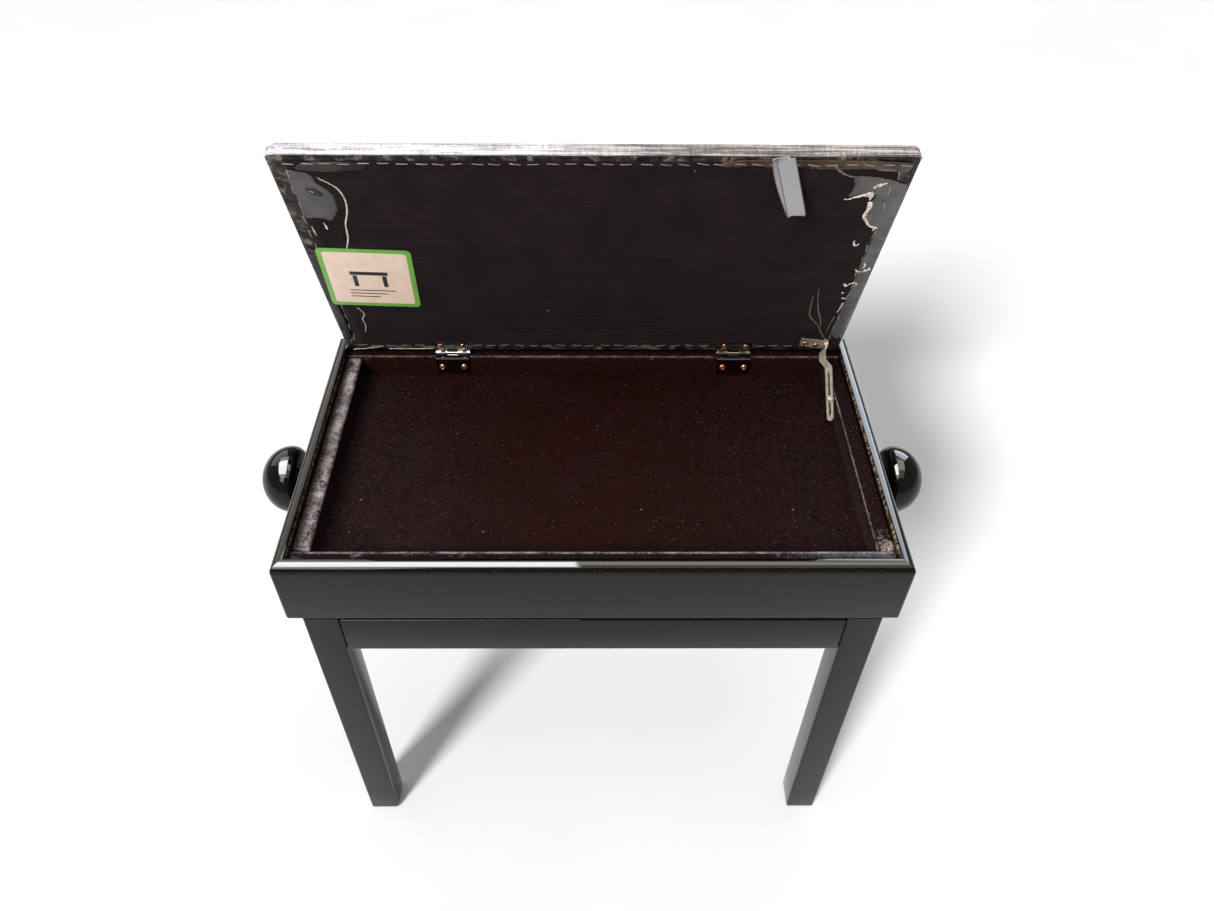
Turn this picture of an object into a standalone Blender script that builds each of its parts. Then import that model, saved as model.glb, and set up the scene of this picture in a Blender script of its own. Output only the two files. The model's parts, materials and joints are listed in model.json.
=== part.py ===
"""Height-adjustable piano bench with a storage tray under a hinged, padded lid.

Metres, +Z up, -Y is the front. The floor is at z = 0, and the origin is under the middle of the
bench's outer box, with the lid open as far as its stay lets it and the case at its lowest.
Each sub-part is one named object; moving groups hang from an empty on their joint's axis.
"""
from math import asin, cos, pi, radians, sin, tan

import bmesh
import bpy
from mathutils import Matrix, Vector

GAP = 0.0003                      # between pieces that touch

# Case: four lacquered panels around a shallow velvet tray
CASE_WIDTH = 0.560
CASE_DEPTH = 0.330
CASE_TOP = 0.4565
CASE_HEIGHT = 0.0725
PANEL_THICKNESS = 0.013
BULLNOSE = 0.009
LEDGE_WIDTH = 0.0165
LEDGE_DROP = 0.0088
TRAY_DEPTH = 0.0223               # from the ledge's top to the tray floor
FLOOR_THICKNESS = 0.005

# Leg frame
LEG_TOP_WIDTH = 0.0323
LEG_FOOT_WIDTH = 0.0323
SIDE_OVERHANG = 0.0142            # how far the case stands out beyond the legs, each side
FRONT_OVERHANG = 0.001
APRON_THICKNESS = 0.016
APRON_DROP = 0.0505               # from the case's bottom to the apron's bottom
APRON_SLOT = 0.0045               # dark gap between the case and the apron
BLOCK_HEIGHT = 0.0125

# Lid
LID_LEAN = radians(20.0)          # forward of upright, where the stay holds it
LID_CLEARANCE = 0.0008            # between the lid and the rim, each side
BOARD_THICKNESS = 0.009
CUSHION_THICKNESS = 0.028         # in the middle; it thins to nothing at the board's edge
# The domed padding: distance in from the board's edge, height above the board
CUSHION_DOME = (
    (0.0, 0.0),
    (0.0006, 0.0015),
    (0.0030, 0.0036),
    (0.0100, 0.0075),
    (0.0250, 0.0135),
    (0.0450, 0.0195),
    (0.0700, 0.0245),
)
CROWN_INSET = 0.100
COVER_THICKNESS = 0.0006
HINGE_SET_BACK = 0.0215           # from the case's rear face to the hinge pin
HINGE_RISE = 0.0017               # pin above the ledge
LEAF_THICKNESS = 0.0012
LEAF_WIDTH = 0.036
KNUCKLE_RADIUS = 0.0027
PIN_RADIUS = 0.0012
HINGE_SPACING = 0.306             # between the two hinges' centres
LID_START = 0.0035                # from the pin to the lid's hinged edge
SCREW_RADIUS = 0.0032
SCREW_SPREAD = 0.0118              # each hinge screw beside its leaf's middle
LOWER_SCREW_DROP = 0.0105          # below the ledge's top
UPPER_SCREW_UP = 0.0133            # from the pin, along the lid

# Height mechanism
LIFT = 0.090
SCISSOR_LENGTH = 0.340
SCISSOR_LEFT = -0.170
SCISSOR_RISE = 0.036              # between lower and upper pivots when the case is down
ROD_RISE = 0.0145                 # rod's axis above the case's bottom
ROD_RADIUS = 0.005
SHAFT_RADIUS = 0.004
BAR_THICKNESS = 0.003
BAR_WIDTH = 0.016
RAIL_HEIGHT = 0.024
RAIL_HALF_LENGTH = 0.195
OPEN_PIVOT_PLAY = 0.0012          # where the scissor's loop is opened
SLOT_SPARE = 0.0015               # at each end of a slide slot
BAR_SPACE = 0.0015                # between the two bars of a pair
FRAME_SPACE = 0.0072              # between the lower rail and the outer bar
KNOB_RADIUS = 0.0342
KNOB_BACK = 0.0155                # from the case's side to the back of the knob's head
KNOB_REACH = 0.0560

# Lid stay, in the plane beside the tray's right wall
STAY_PLANE = 0.2468
STAY_THICKNESS = 0.0014
STAY_PIVOT_UP = 0.032             # along the lid from the hinge pin
STAY_PIVOT_OUT = 0.0085           # out from the hinge pin, on the underside
STAY_SLOPE = radians(215.5)       # slot's direction in the YZ plane, from +Y towards +Z
STAY_SIDE_STEP = 0.0052           # slot's line beside the pivot
STAY_STUD_ALONG = 0.0615          # from pivot to stud, along the slot
STAY_TIP = 0.0845
STAY_SLOT = (0.0335, 0.0775)      # from pivot to each end of the slot
STAY_SLOT_WIDTH = 0.0026
STAY_TWIST = radians(40.0)        # below the eye, the strip's broad face turns up and inward

case_bottom = CASE_TOP - CASE_HEIGHT
ledge_top = CASE_TOP - LEDGE_DROP
tray_floor = ledge_top - TRAY_DEPTH
half_width = CASE_WIDTH / 2
inner_half_width = half_width - PANEL_THICKNESS
inner_half_depth = CASE_DEPTH / 2 - PANEL_THICKNESS
case_y = 0.0
case_front = case_y - CASE_DEPTH / 2
case_rear = case_y + CASE_DEPTH / 2
hinge_y = case_rear - HINGE_SET_BACK
hinge_z = ledge_top + HINGE_RISE
rod_z = case_bottom + ROD_RISE
lower_pivot_z = rod_z - SCISSOR_RISE
scissor_angle = asin(SCISSOR_RISE / SCISSOR_LENGTH)
scissor_right = SCISSOR_LEFT + SCISSOR_LENGTH * cos(scissor_angle)
raised_angle = asin((SCISSOR_RISE + LIFT) / SCISSOR_LENGTH)
slide_travel = SCISSOR_LENGTH * (cos(scissor_angle) - cos(raised_angle))


# ---------------------------------------------------------------- scene and helpers
def clear_scene():
    for item in list(bpy.data.objects):
        bpy.data.objects.remove(item, do_unlink=True)


def material(name, colour, roughness, metallic=0.0):
    made = bpy.data.materials.new(name)
    made.use_nodes = True
    shader = made.node_tree.nodes["Principled BSDF"]
    shader.inputs["Base Color"].default_value = (*colour, 1.0)
    shader.inputs["Roughness"].default_value = roughness
    shader.inputs["Metallic"].default_value = metallic
    return made


clear_scene()
LACQUER = material("black_lacquer", (0.010, 0.010, 0.011), 0.06)
VELVET = material("dark_velvet", (0.060, 0.030, 0.035), 0.95)
RAW_WOOD = material("raw_wood", (0.42, 0.30, 0.19), 0.75)
LEATHERETTE = material("black_leatherette", (0.020, 0.019, 0.020), 0.45)
DUST_CLOTH = material("dust_cloth", (0.030, 0.026, 0.032), 0.90)
NICKEL = material("nickel_plate", (0.55, 0.53, 0.50), 0.28, 1.0)
COPPERED = material("coppered_screw", (0.72, 0.42, 0.26), 0.30, 1.0)
ZINC = material("zinc_steel", (0.50, 0.51, 0.52), 0.42, 1.0)
RIBBON = material("satin_ribbon", (0.36, 0.37, 0.40), 0.40)
NYLON = material("nylon_bush", (0.70, 0.69, 0.65), 0.55)


def empty(name, place, turn=(0.0, 0.0, 0.0), parent=None):
    made = bpy.data.objects.new(name, None)
    made.location = place
    made.rotation_euler = turn
    made.parent = parent
    bpy.context.scene.collection.objects.link(made)
    return made


def add_object(name, mesh_data, look, parent=None, place=(0.0, 0.0, 0.0), turn=(0.0, 0.0, 0.0)):
    """Turn a bmesh into a named object with outward faces."""
    bmesh.ops.recalc_face_normals(mesh_data, faces=mesh_data.faces)
    mesh = bpy.data.meshes.new(name)
    mesh_data.to_mesh(mesh)
    mesh_data.free()
    mesh.shade_smooth()
    mesh.set_sharp_from_angle(angle=radians(32))
    mesh.materials.append(look)
    made = bpy.data.objects.new(name, mesh)
    made.location = place
    made.rotation_euler = turn
    made.parent = parent
    bpy.context.scene.collection.objects.link(made)
    return made


def loft(sections):
    """A closed skin through equal-length loops of points, capped at both ends."""
    skin = bmesh.new()
    loops = [[skin.verts.new(point) for point in section] for section in sections]
    for low, high in zip(loops, loops[1:]):
        for i in range(len(low)):
            j = (i + 1) % len(low)
            skin.faces.new((low[i], low[j], high[j], high[i]))
    skin.faces.new(loops[0][::-1])
    skin.faces.new(loops[-1])
    return skin


def prism(outline, low, high, axis):
    """An outline in the plane across an axis, carried from low to high along that axis."""
    place = {
        "x": lambda a, b, t: (t, a, b),
        "y": lambda a, b, t: (a, t, b),
        "z": lambda a, b, t: (a, b, t),
    }[axis]
    return loft([[place(a, b, t) for a, b in outline] for t in (low, high)])


def block(low, high):
    outline = [(low[0], low[1]), (high[0], low[1]), (high[0], high[1]), (low[0], high[1])]
    return prism(outline, low[2], high[2], "z")


def arc(centre, radii, start, end, steps):
    """Points of an elliptical arc, angles in radians."""
    turns = [start + (end - start) * i / steps for i in range(steps + 1)]
    return [(centre[0] + radii[0] * cos(a), centre[1] + radii[1] * sin(a)) for a in turns]


def round_rectangle(width, height, radius, steps=3, centre=(0.0, 0.0)):
    points = []
    corners = ((1, 1, 0.0), (-1, 1, pi / 2), (-1, -1, pi), (1, -1, 1.5 * pi))
    for sx, sy, start in corners:
        middle = (centre[0] + sx * (width / 2 - radius), centre[1] + sy * (height / 2 - radius))
        points += arc(middle, (radius, radius), start, start + pi / 2, steps)
    return points


def turned(profile, segments=24, closed=False):
    """Revolve (radius, along) points about X. Points at radius 0 become poles."""
    shape = bmesh.new()
    rings = []
    for radius, along in profile:
        if radius == 0.0:
            rings.append([shape.verts.new((along, 0.0, 0.0))])
            continue
        turns = [2 * pi * i / segments for i in range(segments)]
        rings.append([shape.verts.new((along, radius * cos(a), radius * sin(a))) for a in turns])
    pairs = list(zip(rings, rings[1:]))
    if closed:
        pairs.append((rings[-1], rings[0]))
    for first, second in pairs:
        for i in range(segments):
            j = (i + 1) % segments
            if len(first) == 1:
                shape.faces.new((first[0], second[j], second[i]))
            elif len(second) == 1:
                shape.faces.new((first[i], first[j], second[0]))
            else:
                shape.faces.new((first[i], first[j], second[j], second[i]))
    return shape


def cylinder(radius, low, high, axis="x", centre=(0.0, 0.0), segments=24):
    """A plain cylinder along an axis; centre gives the two other coordinates in X, Y, Z order."""
    outline = arc(centre, (radius, radius), 0.0, 2 * pi * (segments - 1) / segments, segments - 1)
    return prism(outline, low, high, axis)


def combine(target, tool, operation):
    """Add an exact Boolean to target, and keep its tool as a hidden guide."""
    tool.hide_render = True
    tool.display_type = "WIRE"
    modifier = target.modifiers.new(operation.lower(), "BOOLEAN")
    modifier.operation = operation
    modifier.solver = "EXACT"
    modifier.object = tool


def cut(target, shape, name, parent=None):
    tool = add_object(name, shape, ZINC, parent)
    combine(target, tool, "DIFFERENCE")


def weld(target, shape, name, parent=None):
    tool = add_object(name, shape, ZINC, parent)
    combine(target, tool, "UNION")


def strip_outline(path, thickness):
    """Both sides of a bent strip of sheet metal, from the middle line of its section."""
    left, right = [], []
    for i, point in enumerate(path):
        before = Vector(path[max(i - 1, 0)])
        after = Vector(path[min(i + 1, len(path) - 1)])
        along = (after - before).normalized()
        side = Vector((-along.y, along.x)) * thickness / 2
        left.append(tuple(Vector(point) + side))
        right.append(tuple(Vector(point) - side))
    return left + right[::-1]


# ---------------------------------------------------------------- bodies
case = empty("case_slide", (0.0, case_y, case_bottom))
lid = empty("lid_pivot", (0.0, hinge_y, hinge_z), (LID_LEAN, 0.0, 0.0))


# ---------------------------------------------------------------- leg frame
leg_outer_x = half_width - SIDE_OVERHANG
leg_outer_y = CASE_DEPTH / 2 - FRONT_OVERHANG
leg_top = case_bottom - 2 * GAP
apron_bottom = case_bottom - APRON_DROP
apron_top = case_bottom - APRON_SLOT
FOOT_CHAMFER = 0.004
LEG_EDGE = 0.0022


def leg(name, side_x, side_y):
    """A straight square leg with softened edges and a chamfered foot."""
    middle_x = side_x * (leg_outer_x - LEG_TOP_WIDTH / 2)
    middle_y = case_y + side_y * (leg_outer_y - LEG_TOP_WIDTH / 2)
    widths = [
        (0.0, LEG_FOOT_WIDTH - 2 * FOOT_CHAMFER),
        (FOOT_CHAMFER, LEG_FOOT_WIDTH),
        (apron_bottom, LEG_TOP_WIDTH),
        (leg_top, LEG_TOP_WIDTH),
    ]
    sections = []
    for height, width in widths:
        outline = round_rectangle(width, width, LEG_EDGE, 3, (middle_x, middle_y))
        sections.append([(x, y, height) for x, y in outline])
    add_object(name, loft(sections), LACQUER)


for side_x, x_name in ((-1, "left"), (1, "right")):
    leg("leg_front_" + x_name, side_x, -1)
    leg("leg_rear_" + x_name, side_x, 1)

leg_inner_x = leg_outer_x - LEG_TOP_WIDTH
leg_inner_y = leg_outer_y - LEG_TOP_WIDTH
apron_outer_x = leg_outer_x - FRONT_OVERHANG
apron_outer_y = leg_outer_y - FRONT_OVERHANG


def apron(name, side, lengthwise):
    """One rail of the leg frame, with its lower edges softened."""
    soft = 0.0012
    outer = apron_outer_y if lengthwise else apron_outer_x
    reach = (leg_inner_x if lengthwise else leg_inner_y) - GAP
    inner = outer - APRON_THICKNESS
    outline = [
        (inner, apron_top),
        (inner, apron_bottom + soft),
        (inner + soft, apron_bottom),
        (outer - soft, apron_bottom),
        (outer, apron_bottom + soft),
        (outer, apron_top - soft),
        (outer - soft, apron_top),
    ]
    if lengthwise:
        outline = [(case_y + side * a, b) for a, b in outline]
        add_object(name, prism(outline, -reach, reach, "x"), LACQUER)
    else:
        outline = [(side * a, b) for a, b in outline]
        add_object(name, prism(outline, case_y - reach, case_y + reach, "y"), LACQUER)


apron("apron_front", -1, True)
apron("apron_rear", 1, True)
apron("apron_left", -1, False)
apron("apron_right", 1, False)


def corner_block(name, side_x, side_y):
    """A diagonal brace screwed across the inside of a corner, clear of the leg."""
    face_x = apron_outer_x - APRON_THICKNESS - GAP
    face_y = apron_outer_y - APRON_THICKNESS - GAP
    near, far = 0.036, 0.054
    outline = [(face_x - near, face_y), (face_x - far, face_y)]
    outline += [(face_x, face_y - far), (face_x, face_y - near)]
    outline = [(side_x * x, case_y + side_y * y) for x, y in outline]
    low = apron_bottom + 0.0015
    add_object(name, prism(outline, low, low + BLOCK_HEIGHT, "z"), RAW_WOOD)


for side_x, x_name in ((-1, "left"), (1, "right")):
    corner_block("corner_block_front_" + x_name, side_x, -1)
    corner_block("corner_block_rear_" + x_name, side_x, 1)


# ---------------------------------------------------------------- height mechanism
pivot_bore = SHAFT_RADIUS + GAP
slot_height = 2 * (SHAFT_RADIUS + OPEN_PIVOT_PLAY)
# Rail and bar faces, measured from the case's middle
upper_web = inner_half_depth - GAP - BAR_THICKNESS
lower_web = apron_outer_y - APRON_THICKNESS - GAP - BAR_THICKNESS
outer_bar = lower_web - FRAME_SPACE - BAR_THICKNESS
inner_bar = outer_bar - BAR_SPACE - BAR_THICKNESS


def stadium(low, high, height):
    """An outline with round ends along X, centred on z = 0."""
    radius = height / 2
    return arc((high, 0.0), (radius, radius), -pi / 2, pi / 2, 8) + arc(
        (low, 0.0), (radius, radius), pi / 2, 1.5 * pi, 8
    )


def rail(name, side, web, height, parent):
    """A flat rail with a pivot bore at the left and a slide slot at the right."""
    offset = Vector(parent.location) if parent else Vector((0.0, 0.0, 0.0))
    low_y = case_y + min(side * web, side * (web + BAR_THICKNESS)) - offset.y
    middle = height - offset.z
    ends = (-RAIL_HALF_LENGTH, RAIL_HALF_LENGTH)
    low = (ends[0], low_y, middle - RAIL_HEIGHT / 2)
    high = (ends[1], low_y + BAR_THICKNESS, middle + RAIL_HEIGHT / 2)
    made = add_object(name, block(low, high), ZINC, parent)
    bore = cylinder(pivot_bore, low_y - 0.002, low_y + 0.005, "y", (SCISSOR_LEFT, middle))
    cut(made, bore, name + "_bore_cutter", parent)
    slot = stadium(scissor_right - slide_travel - SLOT_SPARE, scissor_right + SLOT_SPARE, slot_height)
    slot = [(x, middle + z) for x, z in slot]
    cut(made, prism(slot, low_y - 0.002, low_y + 0.005, "y"), name + "_slot_cutter", parent)


rail("lower_rail_front", -1, lower_web, lower_pivot_z, None)
rail("lower_rail_rear", 1, lower_web, lower_pivot_z, None)
rail("upper_rail_front", -1, upper_web, rod_z, case)
rail("upper_rail_rear", 1, upper_web, rod_z, case)

rising = empty("rising_arms", (SCISSOR_LEFT, case_y, lower_pivot_z), (0.0, -scissor_angle, 0.0))
falling = empty("falling_arms", (SCISSOR_LEFT, case_y, rod_z), (0.0, scissor_angle, 0.0))
CENTRE_PIN_RADIUS = 0.003


def scissor_bar(name, side, near, parent, bores):
    """One flat bar of the scissor, its pivot at the empty and its length along X."""
    low_y = min(side * near, side * (near + BAR_THICKNESS))
    outline = stadium(0.0, SCISSOR_LENGTH, BAR_WIDTH)
    made = add_object(name, prism(outline, low_y, low_y + BAR_THICKNESS, "y"), ZINC, parent)
    for number, (along, radius) in enumerate(bores):
        bore = cylinder(radius, low_y - 0.002, low_y + 0.005, "y", (along, 0.0), 16)
        cut(made, bore, f"{name}_bore_{number}", parent)
    return made


half_length = SCISSOR_LENGTH / 2
for side, end_name in ((-1, "front"), (1, "rear")):
    rising_bores = [(0.0, pivot_bore), (SCISSOR_LENGTH, pivot_bore)]
    rising_bar = scissor_bar("rising_arm_" + end_name, side, outer_bar, rising, rising_bores)
    pin_ends = sorted((side * (outer_bar + 0.001), side * (inner_bar - 0.003)))
    pin = cylinder(CENTRE_PIN_RADIUS, *pin_ends, "y", (half_length, 0.0), 16)
    weld(rising_bar, pin, "centre_pin_" + end_name, rising)
    falling_bores = [(half_length, CENTRE_PIN_RADIUS + OPEN_PIVOT_PLAY), (SCISSOR_LENGTH, pivot_bore)]
    falling_bar = scissor_bar("falling_arm_" + end_name, side, inner_bar, falling, falling_bores)
    stub_ends = sorted((side * (inner_bar + 0.001), side * (upper_web + BAR_THICKNESS - 0.0005)))
    stub = cylinder(SHAFT_RADIUS, *stub_ends, "y", (0.0, 0.0), 16)
    weld(falling_bar, stub, "pivot_stub_" + end_name, falling)

lower_shaft_reach = lower_web + BAR_THICKNESS - 0.0005
shaft = cylinder(SHAFT_RADIUS, -lower_shaft_reach, lower_shaft_reach, "y", (0.0, 0.0), 16)
add_object("rising_pivot_shaft", shaft, ZINC, rising)
shaft = cylinder(SHAFT_RADIUS, -lower_shaft_reach, lower_shaft_reach, "y", (SCISSOR_LENGTH, 0.0), 16)
add_object("falling_slide_shaft", shaft, ZINC, falling)

crossbar = empty("nut_crossbar_pivot", (scissor_right, case_y, rod_z))
crossbar_reach = upper_web + BAR_THICKNESS - 0.0005
NUT_SIZE = (0.022, 0.026, 0.022)
nut_block = block([-s / 2 for s in NUT_SIZE], [s / 2 for s in NUT_SIZE])
nut = add_object("nut_crossbar", nut_block, ZINC, crossbar)
for side, end_name in ((-1, "front"), (1, "rear")):
    ends = sorted((side * 0.010, side * crossbar_reach))
    weld(nut, cylinder(SHAFT_RADIUS, *ends, "y", (0.0, 0.0), 16), "crossbar_half_" + end_name, crossbar)
cut(nut, cylinder(ROD_RADIUS + OPEN_PIVOT_PLAY, -0.02, 0.02, "x"), "nut_bore_cutter", crossbar)

adjuster = empty("adjuster_spin", (0.0, case_y, rod_z))
ROD_IN_KNOB = 0.0130
rod_reach = half_width + ROD_IN_KNOB
add_object("threaded_rod", cylinder(ROD_RADIUS, -rod_reach, rod_reach, "x", segments=20), ZINC, adjuster)


def knob(name, side):
    """A mushroom knob: round neck, rolled back edge, deep dome, blind bore for the rod."""
    rim_along = KNOB_BACK + 0.0105
    profile = [(0.0, KNOB_REACH)]
    dome = arc((0.0, rim_along), (KNOB_RADIUS, KNOB_REACH - rim_along), pi / 2, 0.0, 10)
    profile += [(r, a) for r, a in dome[1:]]
    back = arc((KNOB_RADIUS - 0.0085, rim_along), (0.0085, 0.0105), 0.0, -pi / 2, 5)
    profile += back[1:]
    profile += [(0.0125, KNOB_BACK), (0.0115, KNOB_BACK - 0.002), (0.0115, 0.0006)]
    bore = ROD_RADIUS + GAP
    profile += [(bore, 0.0006), (bore, ROD_IN_KNOB + GAP), (0.0, ROD_IN_KNOB + GAP)]
    place = [(r, side * (half_width + a)) for r, a in profile]
    add_object(name, turned(place, 36), LACQUER, adjuster)


knob("knob_left", -1)
knob("knob_right", 1)


# ---------------------------------------------------------------- case
def in_case(point):
    """World height and case-centred X, Y to the case empty's own frame."""
    return (point[0], point[1], point[2] - case_bottom)


def panel_profile():
    """(outward, height) points: square inner face, softened foot, bullnose top."""
    soft = 0.0012
    ease = 0.0024
    points = [(0.0, 0.0), (PANEL_THICKNESS - soft, 0.0), (PANEL_THICKNESS, soft)]
    centre = (PANEL_THICKNESS - BULLNOSE, CASE_HEIGHT - BULLNOSE)
    points += arc(centre, (BULLNOSE, BULLNOSE), 0.0, pi / 2, 7)
    points += arc((ease, CASE_HEIGHT - ease), (ease, ease), pi / 2, pi, 3)
    return points


def panel(name, turn, inner_distance, half_inner_length):
    """One side of the case, mitred at both ends, turned about the case's middle."""
    ends = []
    for sign in (-1, 1):
        reach = half_inner_length - GAP / 2
        ends.append([(sign * (reach + u), -(inner_distance + u), z) for u, z in panel_profile()])
    return add_object(name, loft(ends), LACQUER, case, (0.0, 0.0, 0.0), (0.0, 0.0, turn))


panel("case_panel_front", 0.0, inner_half_depth, inner_half_width)
panel("case_panel_rear", pi, inner_half_depth, inner_half_width)
BUSH_RADIUS = 0.0085
for side, turn, x_name in ((-1, -pi / 2, "left"), (1, pi / 2, "right")):
    wall = panel("case_panel_" + x_name, turn, inner_half_width, inner_half_depth)
    ends = sorted((side * (inner_half_width - 0.004), side * (half_width + 0.004)))
    hole = cylinder(BUSH_RADIUS + GAP, *ends, "x", (0.0, ROD_RISE))
    cut(wall, hole, "rod_hole_cutter_" + x_name, case)
    bush = [
        (ROD_RADIUS + GAP, side * (inner_half_width - 0.0025)),
        (BUSH_RADIUS + 0.003, side * (inner_half_width - 0.0025)),
        (BUSH_RADIUS + 0.003, side * (inner_half_width - GAP)),
        (BUSH_RADIUS, side * (inner_half_width - GAP)),
        (BUSH_RADIUS, side * half_width),
        (ROD_RADIUS + GAP, side * half_width),
    ]
    add_object("rod_bushing_" + x_name, turned(bush, 24, closed=True), NYLON, case, (0.0, 0.0, ROD_RISE))

floor_low = in_case((-inner_half_width + GAP, -inner_half_depth + GAP, tray_floor - FLOOR_THICKNESS))
floor_high = in_case((inner_half_width - GAP, inner_half_depth - GAP, tray_floor))
add_object("tray_floor", block(floor_low, floor_high), VELVET, case)

LEDGE_ROUND = 0.004


def ledge_outline(outer, top, bottom, fall):
    """(inward distance, height) section of a velvet-covered ledge batten, rounded to the tray."""
    inner = outer - LEDGE_WIDTH + GAP
    points = [(outer, bottom), (outer, top - fall)]
    if fall:
        points += [(inner + 0.0072, top - 0.65 * fall), (inner + 0.0050, top - 0.1 * fall)]
    points += arc((inner + LEDGE_ROUND, top - LEDGE_ROUND), (LEDGE_ROUND, LEDGE_ROUND), pi / 2, pi, 4)
    points.append((inner, bottom))
    return points


ledge_low = tray_floor + GAP - case_bottom
ledge_high = ledge_top - case_bottom
across = inner_half_width - GAP
along_y = inner_half_depth - LEDGE_WIDTH - GAP
REAR_FALL = 0.0024                # the rear ledge falls away under the hinge knuckles
for name, side, fall in (("ledge_front", -1, 0.0), ("ledge_rear", 1, REAR_FALL)):
    outline = ledge_outline(inner_half_depth - GAP, ledge_high, ledge_low, fall)
    outline = [(side * a, b) for a, b in outline]
    add_object(name, prism(outline, -across, across, "x"), VELVET, case)
for name, side in (("ledge_left", -1), ("ledge_right", 1)):
    outline = ledge_outline(inner_half_width - GAP, ledge_high, ledge_low, 0.0)
    outline = [(side * a, b) for a, b in outline]
    add_object(name, prism(outline, -along_y, along_y, "y"), VELVET, case)


# ---------------------------------------------------------------- hinges
ledge_face = hinge_y - (case_rear - PANEL_THICKNESS - LEDGE_WIDTH)    # pin to the tray's rear wall
LEAF_LOWER = 0.0195
leaf_mid = LEAF_THICKNESS / 2
leaf_plane = 0.0002 + leaf_mid    # leaf's middle beside the pin's axis
curl_radius = KNUCKLE_RADIUS - leaf_mid
curl_start = asin(leaf_plane / curl_radius)
UPPER_LEAF_REACH = 0.0175
SCREW_TURN = (0.0, 0.0, -pi / 2)  # heads point to the front


def curl(start, sweep):
    """The rolled eye of a leaf, around the pin."""
    return arc((0.0, 0.0), (curl_radius, curl_radius), start, start + sweep, 12)


def lower_leaf_path():
    """(y, z) from the pin: up the tray wall, over the ledge, around the pin."""
    front = -ledge_face - GAP - leaf_mid
    bend = 0.0012
    path = [(front, -HINGE_RISE - LEAF_LOWER), (front, -leaf_plane - bend)]
    path += [(front + bend * 0.3, -leaf_plane - bend * 0.3), (front + bend, -leaf_plane)]
    path += curl(pi + curl_start, radians(292))
    return path


def upper_leaf_path():
    """(out, up) in the lid's frame: down the lid's underside, then around the pin."""
    return [(leaf_plane, UPPER_LEAF_REACH)] + curl(pi / 2 - curl_start, radians(-292))


def hinge(x_name, middle):
    """One butt hinge: a middle knuckle on the lid's leaf between two on the case's leaf."""
    half = LEAF_WIDTH / 2
    knuckle = LEAF_WIDTH / 6
    pin_place = (0.0, hinge_y - case_y, hinge_z - case_bottom)
    section = strip_outline(lower_leaf_path(), LEAF_THICKNESS)
    shape = prism(section, middle - half, middle + half, "x")
    lower = add_object("hinge_lower_leaf_" + x_name, shape, NICKEL, case, pin_place)
    notch_reach = knuckle + GAP / 2
    notch = block((middle - notch_reach, -0.0036, -0.0040), (middle + notch_reach, 0.0040, 0.0040))
    notch_tool = add_object("lower_notch_cutter_" + x_name, notch, ZINC, case, pin_place)
    combine(lower, notch_tool, "DIFFERENCE")
    section = strip_outline(upper_leaf_path(), LEAF_THICKNESS)
    shape = prism(section, middle - half, middle + half, "x")
    upper = add_object("hinge_upper_leaf_" + x_name, shape, NICKEL, lid)
    for side in (-1, 1):
        near, far = sorted((middle + side * (knuckle - GAP / 2), middle + side * (half + 0.001)))
        ear = block((near, -0.0040, -0.0040), (far, 0.0040, 0.0034))
        cut(upper, ear, f"upper_notch_cutter_{x_name}_{'left' if side < 0 else 'right'}", lid)
    pin_reach = half + 0.0006
    pin = cylinder(PIN_RADIUS, middle - pin_reach, middle + pin_reach, "x", segments=12)
    add_object("hinge_pin_" + x_name, pin, NICKEL, case, pin_place)
    for side, end_name in ((-1, "a"), (1, "b")):
        across_x = middle + side * SCREW_SPREAD
        front = -ledge_face - GAP - LEAF_THICKNESS - GAP
        lower_height = hinge_z - case_bottom - HINGE_RISE - LOWER_SCREW_DROP
        lower_place = (across_x, hinge_y - case_y + front, lower_height)
        lower_name = f"hinge_lower_screw_{x_name}_{end_name}"
        add_object(lower_name, screw_head(), COPPERED, case, lower_place, SCREW_TURN)
        upper_place = (across_x, leaf_plane - leaf_mid - GAP, UPPER_SCREW_UP)
        upper_name = f"hinge_upper_screw_{x_name}_{end_name}"
        add_object(upper_name, screw_head(), COPPERED, lid, upper_place, SCREW_TURN)


def screw_head():
    """A pan head standing on its bearing face at the origin, pointing along +X."""
    dome = arc((0.0, 0.0003), (SCREW_RADIUS, 0.0014), 0.0, pi / 2, 4)
    profile = [(0.0, 0.0), (SCREW_RADIUS, 0.0)] + [(r, a) for r, a in dome[:-1]]
    profile.append((0.0, 0.0017))
    return turned(profile, 16)


hinge("left", -HINGE_SPACING / 2)
hinge("right", HINGE_SPACING / 2)


# ---------------------------------------------------------------- lid
# In the lid's frame +Z runs from the pin to the lid's free edge and +Y from underside to top.
underside = HINGE_RISE            # lid's underside beside the pin's plane
lid_end = hinge_y - (case_front + PANEL_THICKNESS + LID_CLEARANCE)
lid_half_width = inner_half_width - LID_CLEARANCE
lid_middle = (LID_START + lid_end) / 2
lid_length = lid_end - LID_START
board_outline = round_rectangle(2 * lid_half_width, lid_length, 0.004, 3, (0.0, lid_middle))
add_object(
    "lid_board",
    prism(board_outline, underside, underside + BOARD_THICKNESS - GAP, "y"),
    LEATHERETTE,
    lid,
)


def seat_cushion():
    """A low dome of padding, steep only at the very edge."""
    base = underside + BOARD_THICKNESS
    sections = []
    for inset, rise in CUSHION_DOME + ((CROWN_INSET, CUSHION_THICKNESS),):
        width = 2 * (lid_half_width - inset)
        length = lid_length - 2 * inset
        outline = round_rectangle(width, length, 0.004, 3, (0.0, lid_middle))
        sections.append([(x, base + rise, z) for x, z in outline])
    add_object("seat_cushion", loft(sections), LEATHERETTE, lid)


seat_cushion()


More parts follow.
